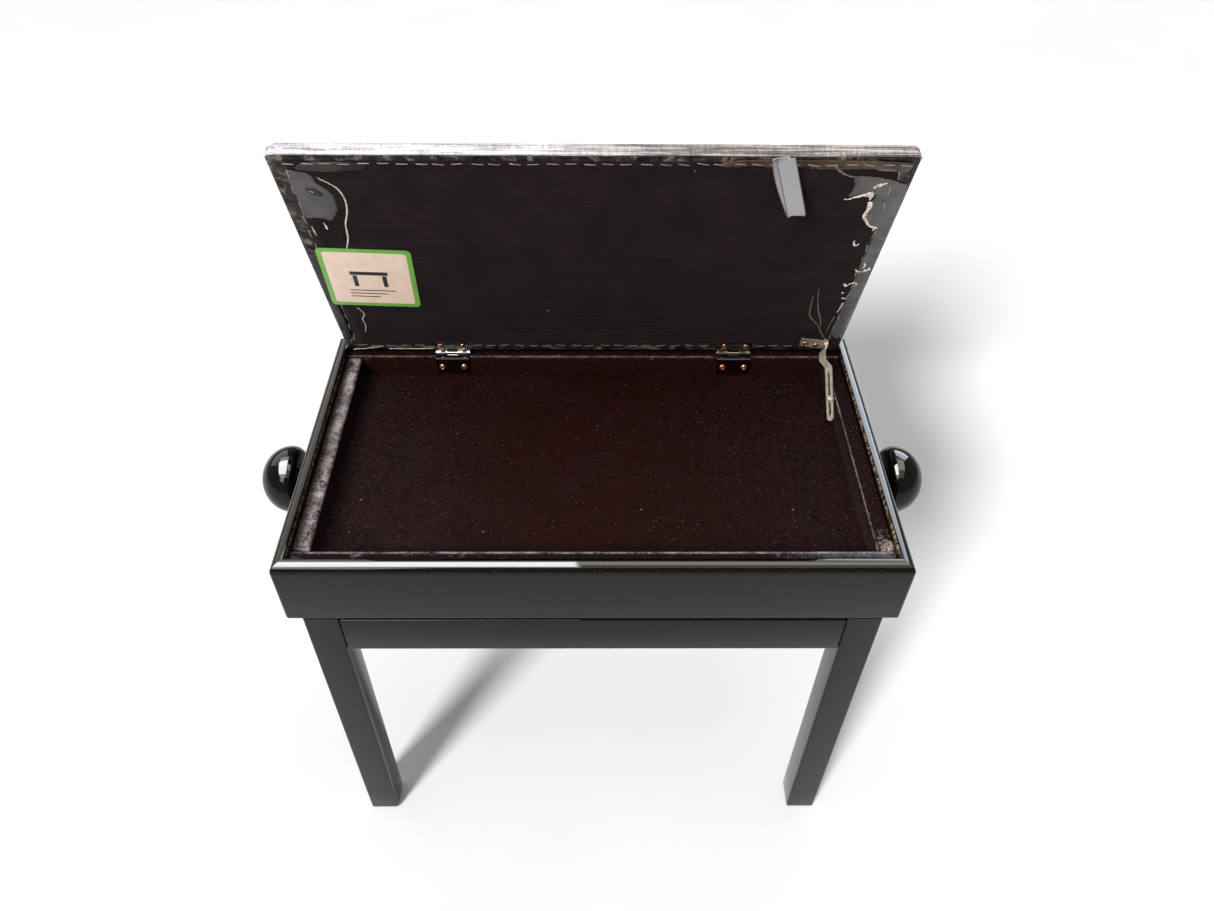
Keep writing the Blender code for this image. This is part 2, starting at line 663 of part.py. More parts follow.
def dust_cover():
    """The cloth under the lid, notched around the hinge leaves and the stay's bracket."""
    side_margin, hinged_margin, free_margin = 0.015, 0.010, 0.012
    notch_top = UPPER_LEAF_REACH + 0.0025
    left, right = -lid_half_width + side_margin, lid_half_width - side_margin
    outline = [(left, LID_START + hinged_margin)]
    for middle in (-HINGE_SPACING / 2, HINGE_SPACING / 2):
        reach = LEAF_WIDTH / 2 + 0.0015
        outline += [(middle - reach, LID_START + hinged_margin), (middle - reach, notch_top)]
        outline += [(middle + reach, notch_top), (middle + reach, LID_START + hinged_margin)]
    bracket_left = STAY_PLATE[0] - 0.0015
    bracket_top = STAY_PLATE[3] + 0.0015
    outline += [(bracket_left, LID_START + hinged_margin), (bracket_left, bracket_top)]
    outline += [(right, bracket_top), (right, lid_end - free_margin), (left, lid_end - free_margin)]
    low = underside - GAP - COVER_THICKNESS
    add_object("dust_cover", prism(outline, low, underside - GAP, "y"), DUST_CLOTH, lid)


# ---------------------------------------------------------------- ribbon tab
RIBBON_X = 0.158
RIBBON_WIDTH = 0.016
RIBBON_LENGTH = 0.066


def ribbon_tab():
    """A folded loop of ribbon: along the underside at the free edge, then hanging straight down."""
    plane = underside - GAP - COVER_THICKNESS - 0.0008
    path = [(plane, lid_end - 0.002), (plane, lid_end - 0.016)]
    hang = Vector((-sin(LID_LEAN), -cos(LID_LEAN)))    # straight down, in the lid's frame
    corner = Vector((plane, lid_end - 0.018))
    path += [tuple(corner + hang * 0.002 + Vector((-0.0004, 0.0)))]
    path += [tuple(corner + hang * RIBBON_LENGTH * part) for part in (0.3, 0.6, 1.0)]
    outline = strip_outline(path, 0.0012)
    half = RIBBON_WIDTH / 2
    add_object("ribbon_tab", prism(outline, RIBBON_X - half, RIBBON_X + half, "x"), RIBBON, lid)


# ---------------------------------------------------------------- lid stay
STAY_PLATE = (0.2222, 0.2478, 0.0147, 0.0285)  # left, right, and low and high at the left, on the lid
PLATE_SLANT = 0.0055                           # how much lower the plate is at its right end
STAY_LUG = 0.0046                              # lug's radius around the rivet
EYE_RADIUS = 0.0048
RIVET_RADIUS = 0.0022
STAY_STUD_RADIUS = 0.0012
stay_eye_x = STAY_PLATE[1] - LEAF_THICKNESS - GAP - STAY_THICKNESS / 2


def stay_bracket():
    """Slanted plate on the lid with a lug turned out at its right end, bored for the arm's rivet."""
    surface = underside - GAP
    left, right, low, high = STAY_PLATE
    inner = right - LEAF_THICKNESS
    drop = PLATE_SLANT
    plate = [(left, low), (right, low - drop), (right, high - drop), (left, high)]
    made = add_object("stay_bracket", prism(plate, surface - LEAF_THICKNESS, surface, "y"), NICKEL, lid)
    centre = (-STAY_PIVOT_OUT, STAY_PIVOT_UP)
    lug = [(surface, low - drop + 0.002), (centre[0] - STAY_LUG, STAY_PIVOT_UP)]
    lug += arc(centre, (STAY_LUG, STAY_LUG), pi, 0.1, 10)[1:]
    lug.append((surface, high - drop - 0.0004))
    weld(made, prism(lug, inner, right - 0.0001, "x"), "stay_lug", lid)
    bore = cylinder(RIVET_RADIUS + GAP, right - 0.004, right + 0.004, "x", centre, 16)
    cut(made, bore, "bracket_bore_cutter", lid)


stay_bracket()
dust_cover()
ribbon_tab()

up_y, up_z = -sin(LID_LEAN), cos(LID_LEAN)
out_y, out_z = -cos(LID_LEAN), -sin(LID_LEAN)
pivot_y = hinge_y + up_y * STAY_PIVOT_UP + out_y * STAY_PIVOT_OUT
pivot_z = hinge_z + up_z * STAY_PIVOT_UP + out_z * STAY_PIVOT_OUT
# The arm's own frame has +Z along the slot, away from the pivot.
stay_turn = STAY_SLOPE - pi / 2
stay = empty("stay_pivot", (0.0, pivot_y, pivot_z), (stay_turn, 0.0, 0.0))


def across_blade(out, along_width, twist=STAY_TWIST):
    """Places across the strip, through its thickness and along its width, as X and Y of the arm's frame."""
    return out * cos(twist) + along_width * sin(twist), along_width * cos(twist) - out * sin(twist)


def stay_arm():
    """A pressed steel strip: eye, twisted neck, side step, then a slotted blade with a round tip."""
    half = STAY_THICKNESS / 2
    side = STAY_SIDE_STEP
    stations = [
        (-EYE_RADIUS, stay_eye_x, 0.0, 0.0020, 0.0),
        (-0.0034, stay_eye_x, 0.0, 0.0035, 0.0),
        (0.0, stay_eye_x, 0.0, EYE_RADIUS, 0.0),
        (0.0045, stay_eye_x, 0.0, 0.0044, 0.0),
        (0.0100, 0.2418, side * 0.30, 0.0040, 0.8),
        (0.0190, 0.2412, side * 0.70, 0.0040, 1.0),
        (0.0270, STAY_PLANE, side * 0.97, 0.0041, 1.0),
        (0.0300, STAY_PLANE, side, 0.0041, 1.0),
        (STAY_TIP - 0.0040, STAY_PLANE, side, 0.0040, 1.0),
        (STAY_TIP - 0.0020, STAY_PLANE, side, 0.0034, 1.0),
        (STAY_TIP - 0.0007, STAY_PLANE, side, 0.0023, 1.0),
        (STAY_TIP, STAY_PLANE, side, 0.0012, 1.0),
    ]
    sections = []
    for along, x, middle, reach, share in stations:
        corners = ((-half, -reach), (half, -reach), (half, reach), (-half, reach))
        offsets = [across_blade(*corner, share * STAY_TWIST) for corner in corners]
        sections.append([(x + a, middle + b, along) for a, b in offsets])
    made = add_object("stay_arm", loft(sections), NICKEL, stay)
    slot = []
    for out in (-0.004, 0.004):
        offsets = [(*across_blade(out, wide), along) for along, wide in stadium(*STAY_SLOT, STAY_SLOT_WIDTH)]
        slot.append([(STAY_PLANE + a, side + b, along) for a, b, along in offsets])
    cut(made, loft(slot), "stay_slot_cutter", stay)
    rivet = cylinder(RIVET_RADIUS, stay_eye_x - 0.0016, STAY_PLATE[1] + 0.0008, "x", (0.0, 0.0), 16)
    weld(made, rivet, "stay_rivet", stay)


stay_arm()

stud_local = Matrix.Rotation(stay_turn, 3, "X") @ Vector((0.0, STAY_SIDE_STEP, STAY_STUD_ALONG))
stud_y = pivot_y + stud_local.y
stud_z = pivot_z + stud_local.z
wall_x = inner_half_width - LEDGE_WIDTH
blade_outer = STAY_PLANE + STAY_THICKNESS / 2
blade_inner = STAY_PLANE - STAY_THICKNESS / 2

# The stud ends just clear of the tilted blade.
stud_end = STAY_PLANE + STAY_THICKNESS / 2 / cos(STAY_TWIST) + STAY_STUD_RADIUS * tan(STAY_TWIST) + GAP
stud_profile = [
    (0.0, wall_x),
    (0.0020, wall_x),
    (0.0020, wall_x - 0.0005),
    (STAY_STUD_RADIUS, wall_x - 0.0006),
    (STAY_STUD_RADIUS, stud_end),
    (0.0, stud_end),
]
stud_place = (0.0, stud_y - case_y, stud_z - case_bottom)
add_object("stay_stud", turned(stud_profile, 16), NICKEL, case, stud_place)

slider = empty("stay_slider_slide", (0.0, stud_y, stud_z), (stay_turn, 0.0, 0.0))
slider_profile = [
    (0.0, blade_outer),
    (STAY_SLOT_WIDTH / 2 - 0.0003, blade_outer),
    (STAY_SLOT_WIDTH / 2 - 0.0003, blade_inner - GAP),
    (0.0038, blade_inner - GAP),
    (0.0038, blade_inner - 0.0010),
    (0.0022, blade_inner - 0.0012),
    (0.0019, blade_inner - 0.0027),
    (0.0010, blade_inner - 0.0033),
    (0.0, blade_inner - 0.0035),
]
slider_shape = turned(slider_profile, 16)
tilt = Matrix.Rotation(-STAY_TWIST, 3, "Z")
bmesh.ops.rotate(slider_shape, cent=(STAY_PLANE, 0.0, 0.0), matrix=tilt, verts=slider_shape.verts)
add_object("stay_slider", slider_shape, NICKEL, slider)
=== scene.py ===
"""Looks for the adjustable piano bench: lacquered shells, velvet tray, stapled lid and fittings.

Everything is in metres, in the CAD model's own frame: +Z up, -Y to the front.
"""
import json
import random
from math import asin, cos, pi, radians, sin

import bmesh
import bpy
import numpy as np
from mathutils import Matrix, Vector, noise
from mathutils.geometry import delaunay_2d_cdt


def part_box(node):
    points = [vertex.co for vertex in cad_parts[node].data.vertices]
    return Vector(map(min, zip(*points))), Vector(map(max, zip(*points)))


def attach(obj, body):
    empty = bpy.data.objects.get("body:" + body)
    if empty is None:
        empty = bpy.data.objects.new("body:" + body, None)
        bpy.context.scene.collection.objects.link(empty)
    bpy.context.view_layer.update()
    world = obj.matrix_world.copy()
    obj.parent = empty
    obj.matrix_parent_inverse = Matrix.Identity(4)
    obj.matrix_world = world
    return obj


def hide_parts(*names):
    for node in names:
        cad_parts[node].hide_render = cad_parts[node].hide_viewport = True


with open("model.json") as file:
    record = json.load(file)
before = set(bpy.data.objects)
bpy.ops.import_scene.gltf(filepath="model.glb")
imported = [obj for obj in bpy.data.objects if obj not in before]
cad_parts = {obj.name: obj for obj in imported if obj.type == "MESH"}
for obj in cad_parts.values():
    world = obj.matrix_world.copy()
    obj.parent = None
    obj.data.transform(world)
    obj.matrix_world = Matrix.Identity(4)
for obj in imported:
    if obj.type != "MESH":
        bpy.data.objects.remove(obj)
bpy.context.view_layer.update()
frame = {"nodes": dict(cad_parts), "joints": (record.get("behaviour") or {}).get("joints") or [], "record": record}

# ---------------------------------------------------------------- driving sizes
CASE_CORNER = 0.0035              # outer corner radius of the lacquered case, seen from above
BULLNOSE = 0.009                  # radius along the rim's outer edge
UNDER_EASE = 0.003                # rounding under the case's outer edge
RIM_EASE = 0.0024                 # rounding at the rim's inner edge
ROD_BORE = 0.0089                 # radius of the rod's holes through the side panels
FOOT_ROUND = 0.004
LEG_EDGE = 0.0024                 # rounding of the legs' long edges
APRON_EDGE = 0.0014
LEDGE_ROUND = 0.004               # of the ledges' tops towards the tray
REAR_FALL = 0.0024                # the rear ledge falls away under the hinges
RIB_PITCH = 0.0027                # of the dust cloth's woven ribs
RIB_HEIGHT = 0.00045
STAPLE_LENGTH = 0.0092
STAPLE_PITCH = 0.0153
SCREW_RADIUS = 0.0032
SCREW_HEIGHT = 0.0017
THREAD_PITCH = 0.004
THREAD_DEPTH = 0.0009
RIBBON_WIDTH = 0.0155
RIBBON_HANG = 0.0500              # the pull loop's length below the lid's edge
SWELL = 0.0052                    # the most that the padding rises in its middle
PLEATS = 0.012                    # how far the cover's pleats reach from its corners
LUG_RISE = 0.0081                 # of the stay bracket's lug above its plate
CUTOUT = 0.0015                   # from the hinges and the stay's bracket to the dust cloth
CLOTH_SIDE = 0.0135               # from the lid's edges to the cloth's: sides, free edge, hinged edge
CLOTH_FREE = 0.0068
CLOTH_HINGED = 0.0095
CLOTH_OUT = 0.0009                # the cloth's ribs' foot off the lid's underside
FILM_OFF = 0.0004                 # film off the lid's free edge, less than its gap to the rim
FABRIC = 0.0003                   # thickness of the dust cloth and of the ribbon
MM = 0.001                        # the film's outlines are given in millimetres
LID_CORNER = 0.0065               # corner radius of the covered lid, seen from below
CORNER_GROWTH = 0.2               # the corner radius grows by this share of the height above it
# The padding's dome: distance in from the lid's edge, share of its height above the board
SEAT_DOME = (
    (0.0009, 0.06), (0.0032, 0.13), (0.0075, 0.22), (0.0150, 0.34), (0.0260, 0.48), (0.0420, 0.64),
    (0.0640, 0.80), (0.0900, 0.92), (0.1150, 0.98), (0.1350, 1.0),
)

# ---------------------------------------------------------------- places read from the frame
joints = {joint["name"]: joint for joint in frame["joints"]}
pin = Vector(joints["lid_hinge"]["pos_m"])
LEAN = pi / 2 - radians(joints["lid_hinge"]["range_deg"][1])
LID_TURN = Matrix.Rotation(LEAN, 4, "X")
lid_up = Vector((0.0, -sin(LEAN), cos(LEAN)))          # from the hinge to the free edge
lid_out = Vector((0.0, -cos(LEAN), -sin(LEAN)))        # off the underside, towards the front


def span(node, direction, origin=pin):
    """Least and greatest distance of a CAD node's points along a direction."""
    reach = [(v.co - origin).dot(direction) for v in frame["nodes"][node].data.vertices]
    return min(reach), max(reach)


lid_low, lid_high = span("lid_board", lid_up)
underside = span("lid_board", lid_out)[1]
lid_thickness = underside - span("seat_cushion", lid_out)[0]
board_thickness = underside - span("lid_board", lid_out)[0]
lid_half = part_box("lid_board")[1].x
lid_length = lid_high - lid_low

front_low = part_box("case_panel_front")[0]
rear_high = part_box("case_panel_rear")[1]
case_low = Vector((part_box("case_panel_left")[0].x, front_low.y, front_low.z))
case_high = Vector((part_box("case_panel_right")[1].x, rear_high.y, rear_high.z))
case_middle = (case_low + case_high) / 2
panel_thickness = case_high.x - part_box("case_panel_right")[0].x


def middle_of(node):
    low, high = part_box(node)
    return (low + high) / 2


def on_lid(x, up, out=0.0):
    """World place of a point on the lid's underside: across, from the hinge pin, and off it."""
    return pin + Vector((x, 0.0, 0.0)) + lid_up * up + lid_out * (underside + out)


# ---------------------------------------------------------------- mesh helpers
def finish_mesh(name, mesh, look, sharp=35.0):
    """Wrap a mesh in a smooth-shaded object with its material."""
    mesh.shade_smooth()
    mesh.set_sharp_from_angle(angle=radians(sharp))
    mesh.materials.append(look)
    made = bpy.data.objects.new(name, mesh)
    bpy.context.scene.collection.objects.link(made)
    return made


def from_bmesh(name, shape, look, sharp=35.0):
    """The finished object of a bmesh, which is freed."""
    bmesh.ops.recalc_face_normals(shape, faces=shape.faces)
    mesh = bpy.data.meshes.new(name)
    shape.to_mesh(mesh)
    shape.free()
    return finish_mesh(name, mesh, look, sharp)


def skin_into(shape, rings, ends="cap"):
    """Skin equal-length closed rings. ends is cap, join (last to first) or open."""
    loops = [[shape.verts.new(point) for point in ring] for ring in rings]
    pairs = list(zip(loops, loops[1:]))
    if ends == "join":
        pairs.append((loops[-1], loops[0]))
    for low, high in pairs:
        for i in range(len(low)):
            j = (i + 1) % len(low)
            shape.faces.new((low[i], low[j], high[j], high[i]))
    if ends == "cap":
        shape.faces.new(loops[0][::-1])
        shape.faces.new(loops[-1])


def skinned(name, rings, look, ends="cap", sharp=35.0):
    shape = bmesh.new()
    skin_into(shape, rings, ends)
    return from_bmesh(name, shape, look, sharp)


def surface(name, rows, look, sharp=60.0):
    """An open sheet through equal-length rows of points."""
    shape = bmesh.new()
    lines = [[shape.verts.new(point) for point in row] for row in rows]
    for low, high in zip(lines, lines[1:]):
        for i in range(len(low) - 1):
            shape.faces.new((low[i], low[i + 1], high[i + 1], high[i]))
    return from_bmesh(name, shape, look, sharp)


def arc(centre, radii, start, end, steps):
    """Points along an ellipse's arc."""
    turns = [start + (end - start) * i / steps for i in range(steps + 1)]
    return [(centre[0] + radii[0] * cos(a), centre[1] + radii[1] * sin(a)) for a in turns]


def rounded(half_x, half_y, radius, steps=6):
    """A rectangle's outline with round corners, about its middle."""
    points = []
    for sx, sy, start in ((1, 1, 0.0), (-1, 1, pi / 2), (-1, -1, pi), (1, -1, 1.5 * pi)):
        middle = (sx * (half_x - radius), sy * (half_y - radius))
        points += arc(middle, (radius, radius), start, start + pi / 2, steps)
    return points


def smooth_line(points, steps=8, closed=False):
    """A Catmull-Rom curve through a few points."""
    given = [Vector(p) for p in points]
    count = len(given)
    made = []
    for i in range(count if closed else count - 1):
        if closed:
            a, b, c, d = (given[(i + k) % count] for k in (-1, 0, 1, 2))
        else:
            a, b, c, d = (given[min(max(i + k, 0), count - 1)] for k in (-1, 0, 1, 2))
        for step in range(steps):
            t = step / steps
            square, cube = 2 * a - 5 * b + 4 * c - d, 3 * b - a - 3 * c + d
            made.append(0.5 * (2 * b + (c - a) * t + square * t**2 + cube * t**3))
    if not closed:
        made.append(given[-1])
    return made


def direction_at(points, i):
    """Unit direction of a run of points at one of them."""
    return (points[min(i + 1, len(points) - 1)] - points[max(i - 1, 0)]).normalized()


def turned_into(shape, profile, segments, place):
    """Revolve (radius, along) points; place maps (along, a, b) to the final point."""
    rings = []
    for radius, along in profile:
        if radius == 0.0:
            rings.append([shape.verts.new(place(along, 0.0, 0.0))])
            continue
        turns = [2 * pi * i / segments for i in range(segments)]
        rings.append([shape.verts.new(place(along, radius * cos(a), radius * sin(a))) for a in turns])
    for first, second in zip(rings, rings[1:]):
        for i in range(segments):
            j = (i + 1) % segments
            if len(first) == 1:
                shape.faces.new((first[0], second[j], second[i]))
            elif len(second) == 1:
                shape.faces.new((first[i], first[j], second[0]))
            else:
                shape.faces.new((first[i], first[j], second[j], second[i]))


def soft_box(name, low, high, radius, look, segments=4):
    """A box with rounded edges."""
    shape = bmesh.new()
    bmesh.ops.create_cube(shape, size=1.0)
    size = Vector(high) - Vector(low)
    middle = (Vector(low) + Vector(high)) / 2
    for vert in shape.verts:
        vert.co = Vector((vert.co.x * size.x, vert.co.y * size.y, vert.co.z * size.z)) + middle
    bmesh.ops.bevel(shape, geom=shape.edges[:], offset=radius, segments=segments, profile=0.5, affect="EDGES")
    return from_bmesh(name, shape, look, 50.0)


def wire_into(shape, points, across, thick, sides=8):
    """A closed oval wire along points; across and thick are its half sizes, thick along lid_out."""
    points = [Vector(p) for p in points]
    rings = []
    for i, point in enumerate(points):
        along = direction_at(points, i)
        side = along.cross(lid_out)
        side = side.normalized() if side.length > 1e-6 else Vector((1.0, 0.0, 0.0))
        face = side.cross(along).normalized()
        scale = 0.35 if i in (0, len(points) - 1) else 1.0
        turns = [2 * pi * k / sides for k in range(sides)]
        rings.append([point + side * across * scale * cos(a) + face * thick * scale * sin(a) for a in turns])
    skin_into(shape, rings)


def applied(made):
    """Bake an object's modifiers into its mesh."""
    graph = bpy.context.evaluated_depsgraph_get()
    mesh = bpy.data.meshes.new_from_object(made.evaluated_get(graph))
    made.modifiers.clear()
    made.data = mesh
    return made


def carve(made, tool):
    """Cut a tool's shape out of a piece, and remove the tool."""
    modifier = made.modifiers.new("carve", "BOOLEAN")
    modifier.operation = "DIFFERENCE"
    modifier.solver = "EXACT"
    modifier.object = tool
    applied(made)
    bpy.data.objects.remove(tool, do_unlink=True)
    made.data.shade_smooth()
    made.data.set_sharp_from_angle(angle=radians(40.0))


def thicken(made, thickness, offset=0.0):
    """Give a sheet its thickness: evenly about its surface, or to one side with offset 1 or -1."""
    modifier = made.modifiers.new("thickness", "SOLIDIFY")
    modifier.thickness = thickness
    modifier.offset = offset
    return applied(made)


def belongs(made, body, slot, *replaced):
    """Attach a piece to what it rides on and hide the CAD nodes that it stands for; the slot argument is not used.
    """
    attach(made, body)
    if replaced:
        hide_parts(*replaced)
    return made


def wobble(place, scale, seed=0.0):
    """Smooth noise about zero at a place."""
    return noise.noise(Vector(place) * scale + Vector((seed, seed * 1.7, -seed)))


# ---------------------------------------------------------------- materials
def tone(red, green, blue):
    """An everyday 8-bit colour as linear RGBA."""
    return tuple((c / 255.0) ** 2.2 for c in (red, green, blue)) + (1.0,)


class Look:
    """One material and short calls for the shader nodes in it."""

    def __init__(self, name, colour, roughness, metallic=0.0, **sockets):
        self.material = bpy.data.materials.new(name)
        self.material.use_nodes = True
        self.tree = self.material.node_tree
        self.shader = self.tree.nodes["Principled BSDF"]
        self.set(base_color=colour, roughness=roughness, metallic=metallic, **sockets)
        self.place = self.tree.nodes.new("ShaderNodeTexCoord").outputs["Object"]

    def set(self, **sockets):
        for name, value in sockets.items():
            self.into(self.shader.inputs[name.replace("_", " ").title().replace("Ior", "IOR")], value)

    def into(self, socket, value):
        if isinstance(value, bpy.types.NodeSocket):
            self.tree.links.new(value, socket)
        else:
            socket.default_value = value

    def node(self, kind, inputs, output=0, **settings):
        made = self.tree.nodes.new(kind)
        for name, value in settings.items():
            setattr(made, name, value)
        for name, value in inputs.items():
            self.into(made.inputs[name], value)
        return made.outputs[output]

    def stretched(self, scale):
        return self.node("ShaderNodeMapping", {"Vector": self.place, "Scale": scale})

    def noise(self, scale, detail=3.0, roughness=0.55, place=None, distortion=0.0):
        inputs = {
            "Vector": place or self.place,
            "Scale": scale,
            "Detail": detail,
            "Roughness": roughness,
            "Distortion": distortion,
        }
        return self.node("ShaderNodeTexNoise", inputs)

    def cells(self, scale, output="Distance", feature="F1"):
        inputs = {"Vector": self.place, "Scale": scale}
        return self.node("ShaderNodeTexVoronoi", inputs, output, feature=feature)

    def ramp(self, value, *stops, smooth=True):
        """Colours or greys at positions along a value from 0 to 1."""
        made = self.tree.nodes.new("ShaderNodeValToRGB")
        band = made.color_ramp
        band.interpolation = "EASE" if smooth else "LINEAR"
        while len(band.elements) < len(stops):
            band.elements.new(0.5)
        for element, (position, colour) in zip(band.elements, stops):
            element.position = position
            element.color = colour if isinstance(colour, tuple) else (colour, colour, colour, 1.0)
        self.into(made.inputs["Fac"], value)
        return made.outputs["Color"]

    def mix(self, factor, first, second):
        """A blend of two colours; the colour sockets of this node are 6, 7 and output 2."""
        return self.node("ShaderNodeMix", {0: factor, 6: first, 7: second}, 2, data_type="RGBA")

    def maths(self, operation, first, second=0.0):
        return self.node("ShaderNodeMath", {0: first, 1: second}, operation=operation)

    def times(self, made, *factors):
        for factor in factors:
            made = self.maths("MULTIPLY", made, factor)
        return made

    def plus(self, first, second):
        return self.maths("ADD", first, second)

    def most(self, first, second):
        return self.maths("MAXIMUM", first, second)

    def slope(self, value, low, high):
        """0 at low, 1 at high, straight between them."""
        return self.node("ShaderNodeMapRange", {"Value": value, "From Min": low, "From Max": high})

    def specks(self, scale, sizes, strength, rarity):
        """Round specks in some cells of a grid; sizes are their full and their outer radius."""
        dots = self.ramp(self.cells(scale), (sizes[0], strength), (sizes[1], 0.0), smooth=False)
        some = self.ramp(self.cells(scale, "Color"), (rarity[0], 0.0), (rarity[1], 1.0), smooth=False)
        return self.times(dots, some)

    def axis(self, index):
        return self.node("ShaderNodeSeparateXYZ", {"Vector": self.place}, index)

    def between(self, value, low, high, soft):
        """1 inside low..high, falling to 0 over a soft width outside."""
        return self.times(self.slope(value, low - soft, low), self.slope(value, high + soft, high))

    def bump(self, height, distance, strength, socket="Normal"):
        inputs = {"Height": height, "Distance": distance, "Strength": strength}
        self.into(self.shader.inputs[socket], self.node("ShaderNodeBump", inputs))


def lacquer(name="black_lacquer", board=None):
    """Thick black polyester lacquer with faint dust; board(look) says where it is painted board-brown: bare board,
    and a painted highlight.
    """
    black = tone(12, 12, 9)
    look = Look(name, black, 0.05, ior=1.32)
    look.set(roughness=look.ramp(look.noise(14.0, 5.0, 0.6), (0.42, 0.03), (0.75, 0.09)))
    dust = look.ramp(look.noise(620.0, 4.0, 0.7), (0.50, 0.0), (0.66, 0.55))
    colour = look.mix(dust, black, tone(44, 42, 34))
    if board:
        brown = look.ramp(look.noise(260.0, 4.0, 0.7), (0.40, tone(84, 62, 46)), (0.60, tone(186, 160, 134)))
        colour = look.mix(board(look), colour, brown)
    look.set(base_color=colour)
    look.bump(look.noise(150.0, 2.0), 0.00003, 0.4)
    return look.material


def board_and_painted_highlight(look):
    """A speckled line along the side rails' inner edges: on the right where the lacquer has thinned to board, on
    the left a weaker painted highlight in the same colour.
    """
    inner_x = case_high.x - panel_thickness
    right_edge = look.between(look.axis(0), inner_x - 0.001, inner_x + 0.0012, 0.0003)
    # painted highlight: the left rail's inner edge is lightened as if it caught the light
    left_edge_painted_highlight = look.between(look.axis(0), -inner_x - 0.0008, -inner_x + 0.001, 0.0002)
    edge = look.most(right_edge, look.times(left_edge_painted_highlight, 0.55))
    from_front = look.between(look.axis(1), case_low.y + panel_thickness, case_high.y, 0.0002)
    fade = look.slope(look.axis(1), 0.14, 0.08)
    height = look.between(look.axis(2), case_high.z - 0.003, case_high.z + 0.001, 0.0004)
    patches = look.ramp(look.noise(240.0, 5.0, 0.75), (0.42, 0.0), (0.56, 0.8))
    return look.times(edge, from_front, fade, height, patches)


def velvet(name, dark, pale, nap_and_sheen, lint=0.4, warm=0.0):
    """Flocked velvet with lint. The mask function gives how far the velvet is painted pale, 0 to 1: pale patches
    and dust, and painted sheen and highlight lines.
    """
    look = Look(name, dark, 0.95, specular_ior_level=0.02, sheen_weight=0.01, sheen_roughness=0.4)
    grain = look.noise(420.0, 4.0, 0.85)
    crush = look.noise(70.0, 4.0, 0.65, distortion=0.5)
    speckle = look.ramp(look.plus(look.times(grain, 0.6), look.times(crush, 0.4)), (0.38, 0.0), (0.62, 1.0))
    base = look.mix(look.ramp(grain, (0.45, 0.0), (0.56, 1.0)), dark, tone(43, 25, 23))
    if warm:
        middle = look.slope(look.maths("ABSOLUTE", look.axis(0)), 0.20, 0.02)
        base = look.mix(look.times(middle, warm), base, tone(30, 6, 5))
    # painted sheen and highlight lines, with pale patches and dust, are mixed in here
    colour = look.mix(look.times(nap_and_sheen(look), speckle), base, pale)
    large = look.specks(75.0, (0.030, 0.048), 1.0, (0.86 - lint, 0.88 - lint))
    small = look.specks(260.0, (0.06, 0.11), 0.45, (0.80 - lint, 0.84 - lint))
    look.set(base_color=look.mix(look.most(large, small), colour, tone(196, 190, 186)))
    look.bump(look.plus(grain, crush), 0.0005, 0.6)
    return look.material


def left_painted_sheen(look):
    """Painted sheen: pale on the inner half of the ledge's top, fading outwards, as if its pile caught the light.
    """
    low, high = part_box("ledge_left")
    fade = look.slope(look.axis(0), low.x, high.x - 0.006)
    inside = look.between(look.axis(0), low.x, high.x - 0.0016, 0.0012)
    top = look.between(look.axis(2), high.z - 0.0022, high.z + 0.001, 0.001)
    return look.times(fade, inside, top, look.ramp(look.noise(26.0, 3.0), (0.3, 0.45), (0.62, 1.0)))


def edge_painted_highlight(node, axis, at, reach, strength, patchy=0.3):
    """A painted highlight: a pale line near one coordinate of a ledge, where its rounded edge would catch the
    light.
    """
    def mask(look):
        line = look.between(look.axis(axis), at - reach / 2, at + reach / 2, reach)
        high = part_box(node)[1]
        top = look.between(look.axis(2), high.z - 0.0030, high.z + 0.001, 0.001)
        worn = look.ramp(look.noise(45.0, 4.0, 0.7), (0.5 - patchy, 0.15), (0.66, strength))
        return look.times(line, top, worn)
    return mask


def right_highlight_and_dust(look):
    """The ledge's painted highlight line along its edge, and a dusty patch where it meets the front ledge."""
    low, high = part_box("ledge_right")
    line = edge_painted_highlight("ledge_right", 0, low.x + 0.0022, 0.0006, 0.42)(look)
    across = look.between(look.axis(0), low.x + 0.008, high.x, 0.006)
    along = look.between(look.axis(1), low.y - 0.01, low.y + 0.004, 0.022)
    strands = look.ramp(look.noise(130.0, 4.0, 0.7, distortion=1.5), (0.40, 0.0), (0.56, 1.0))
    return look.most(line, look.times(across, along, strands))


def front_highlight_patches_dust(look):
    """The ledge's painted highlight line along its edge, pale patches, and dust towards its right end."""
    line = edge_painted_highlight("ledge_front", 1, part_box("ledge_front")[1].y - 0.0032, 0.0013, 1.0, 0.45)(look)
    patches = look.ramp(look.noise(55.0, 4.0, 0.6), (0.58, 0.0), (0.70, 0.4))
    right_end = look.slope(look.axis(0), 0.16, 0.262)
    return look.most(line, look.most(patches, look.times(right_end, 0.5)))


def floor_nap(look):
    """A faint bloom over the floor, and thin worn lines along the right and rear walls."""
    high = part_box("tray_floor")[1]
    bloom = look.ramp(look.noise(9.0, 5.0, 0.65, distortion=0.4), (0.45, 0.0), (0.80, 0.30))
    for line_x in (high.x - 0.010, high.x - 0.0055):
        line = look.between(look.axis(0), line_x - 0.0003, line_x + 0.0003, 0.0005)
        bloom = look.most(bloom, look.times(line, 0.5))
    line = look.between(look.axis(1), high.y - 0.009, high.y - 0.0084, 0.0006)
    return look.most(bloom, look.times(line, 0.45))


def leather_bump(look):
    """Pebbled grain of a coated fabric."""
    pebbles = look.cells(900.0, feature="SMOOTH_F1")
    fine = look.noise(2600.0, 2.0)
    look.bump(look.plus(pebbles, look.times(fine, 0.35)), 0.00018, 0.55)


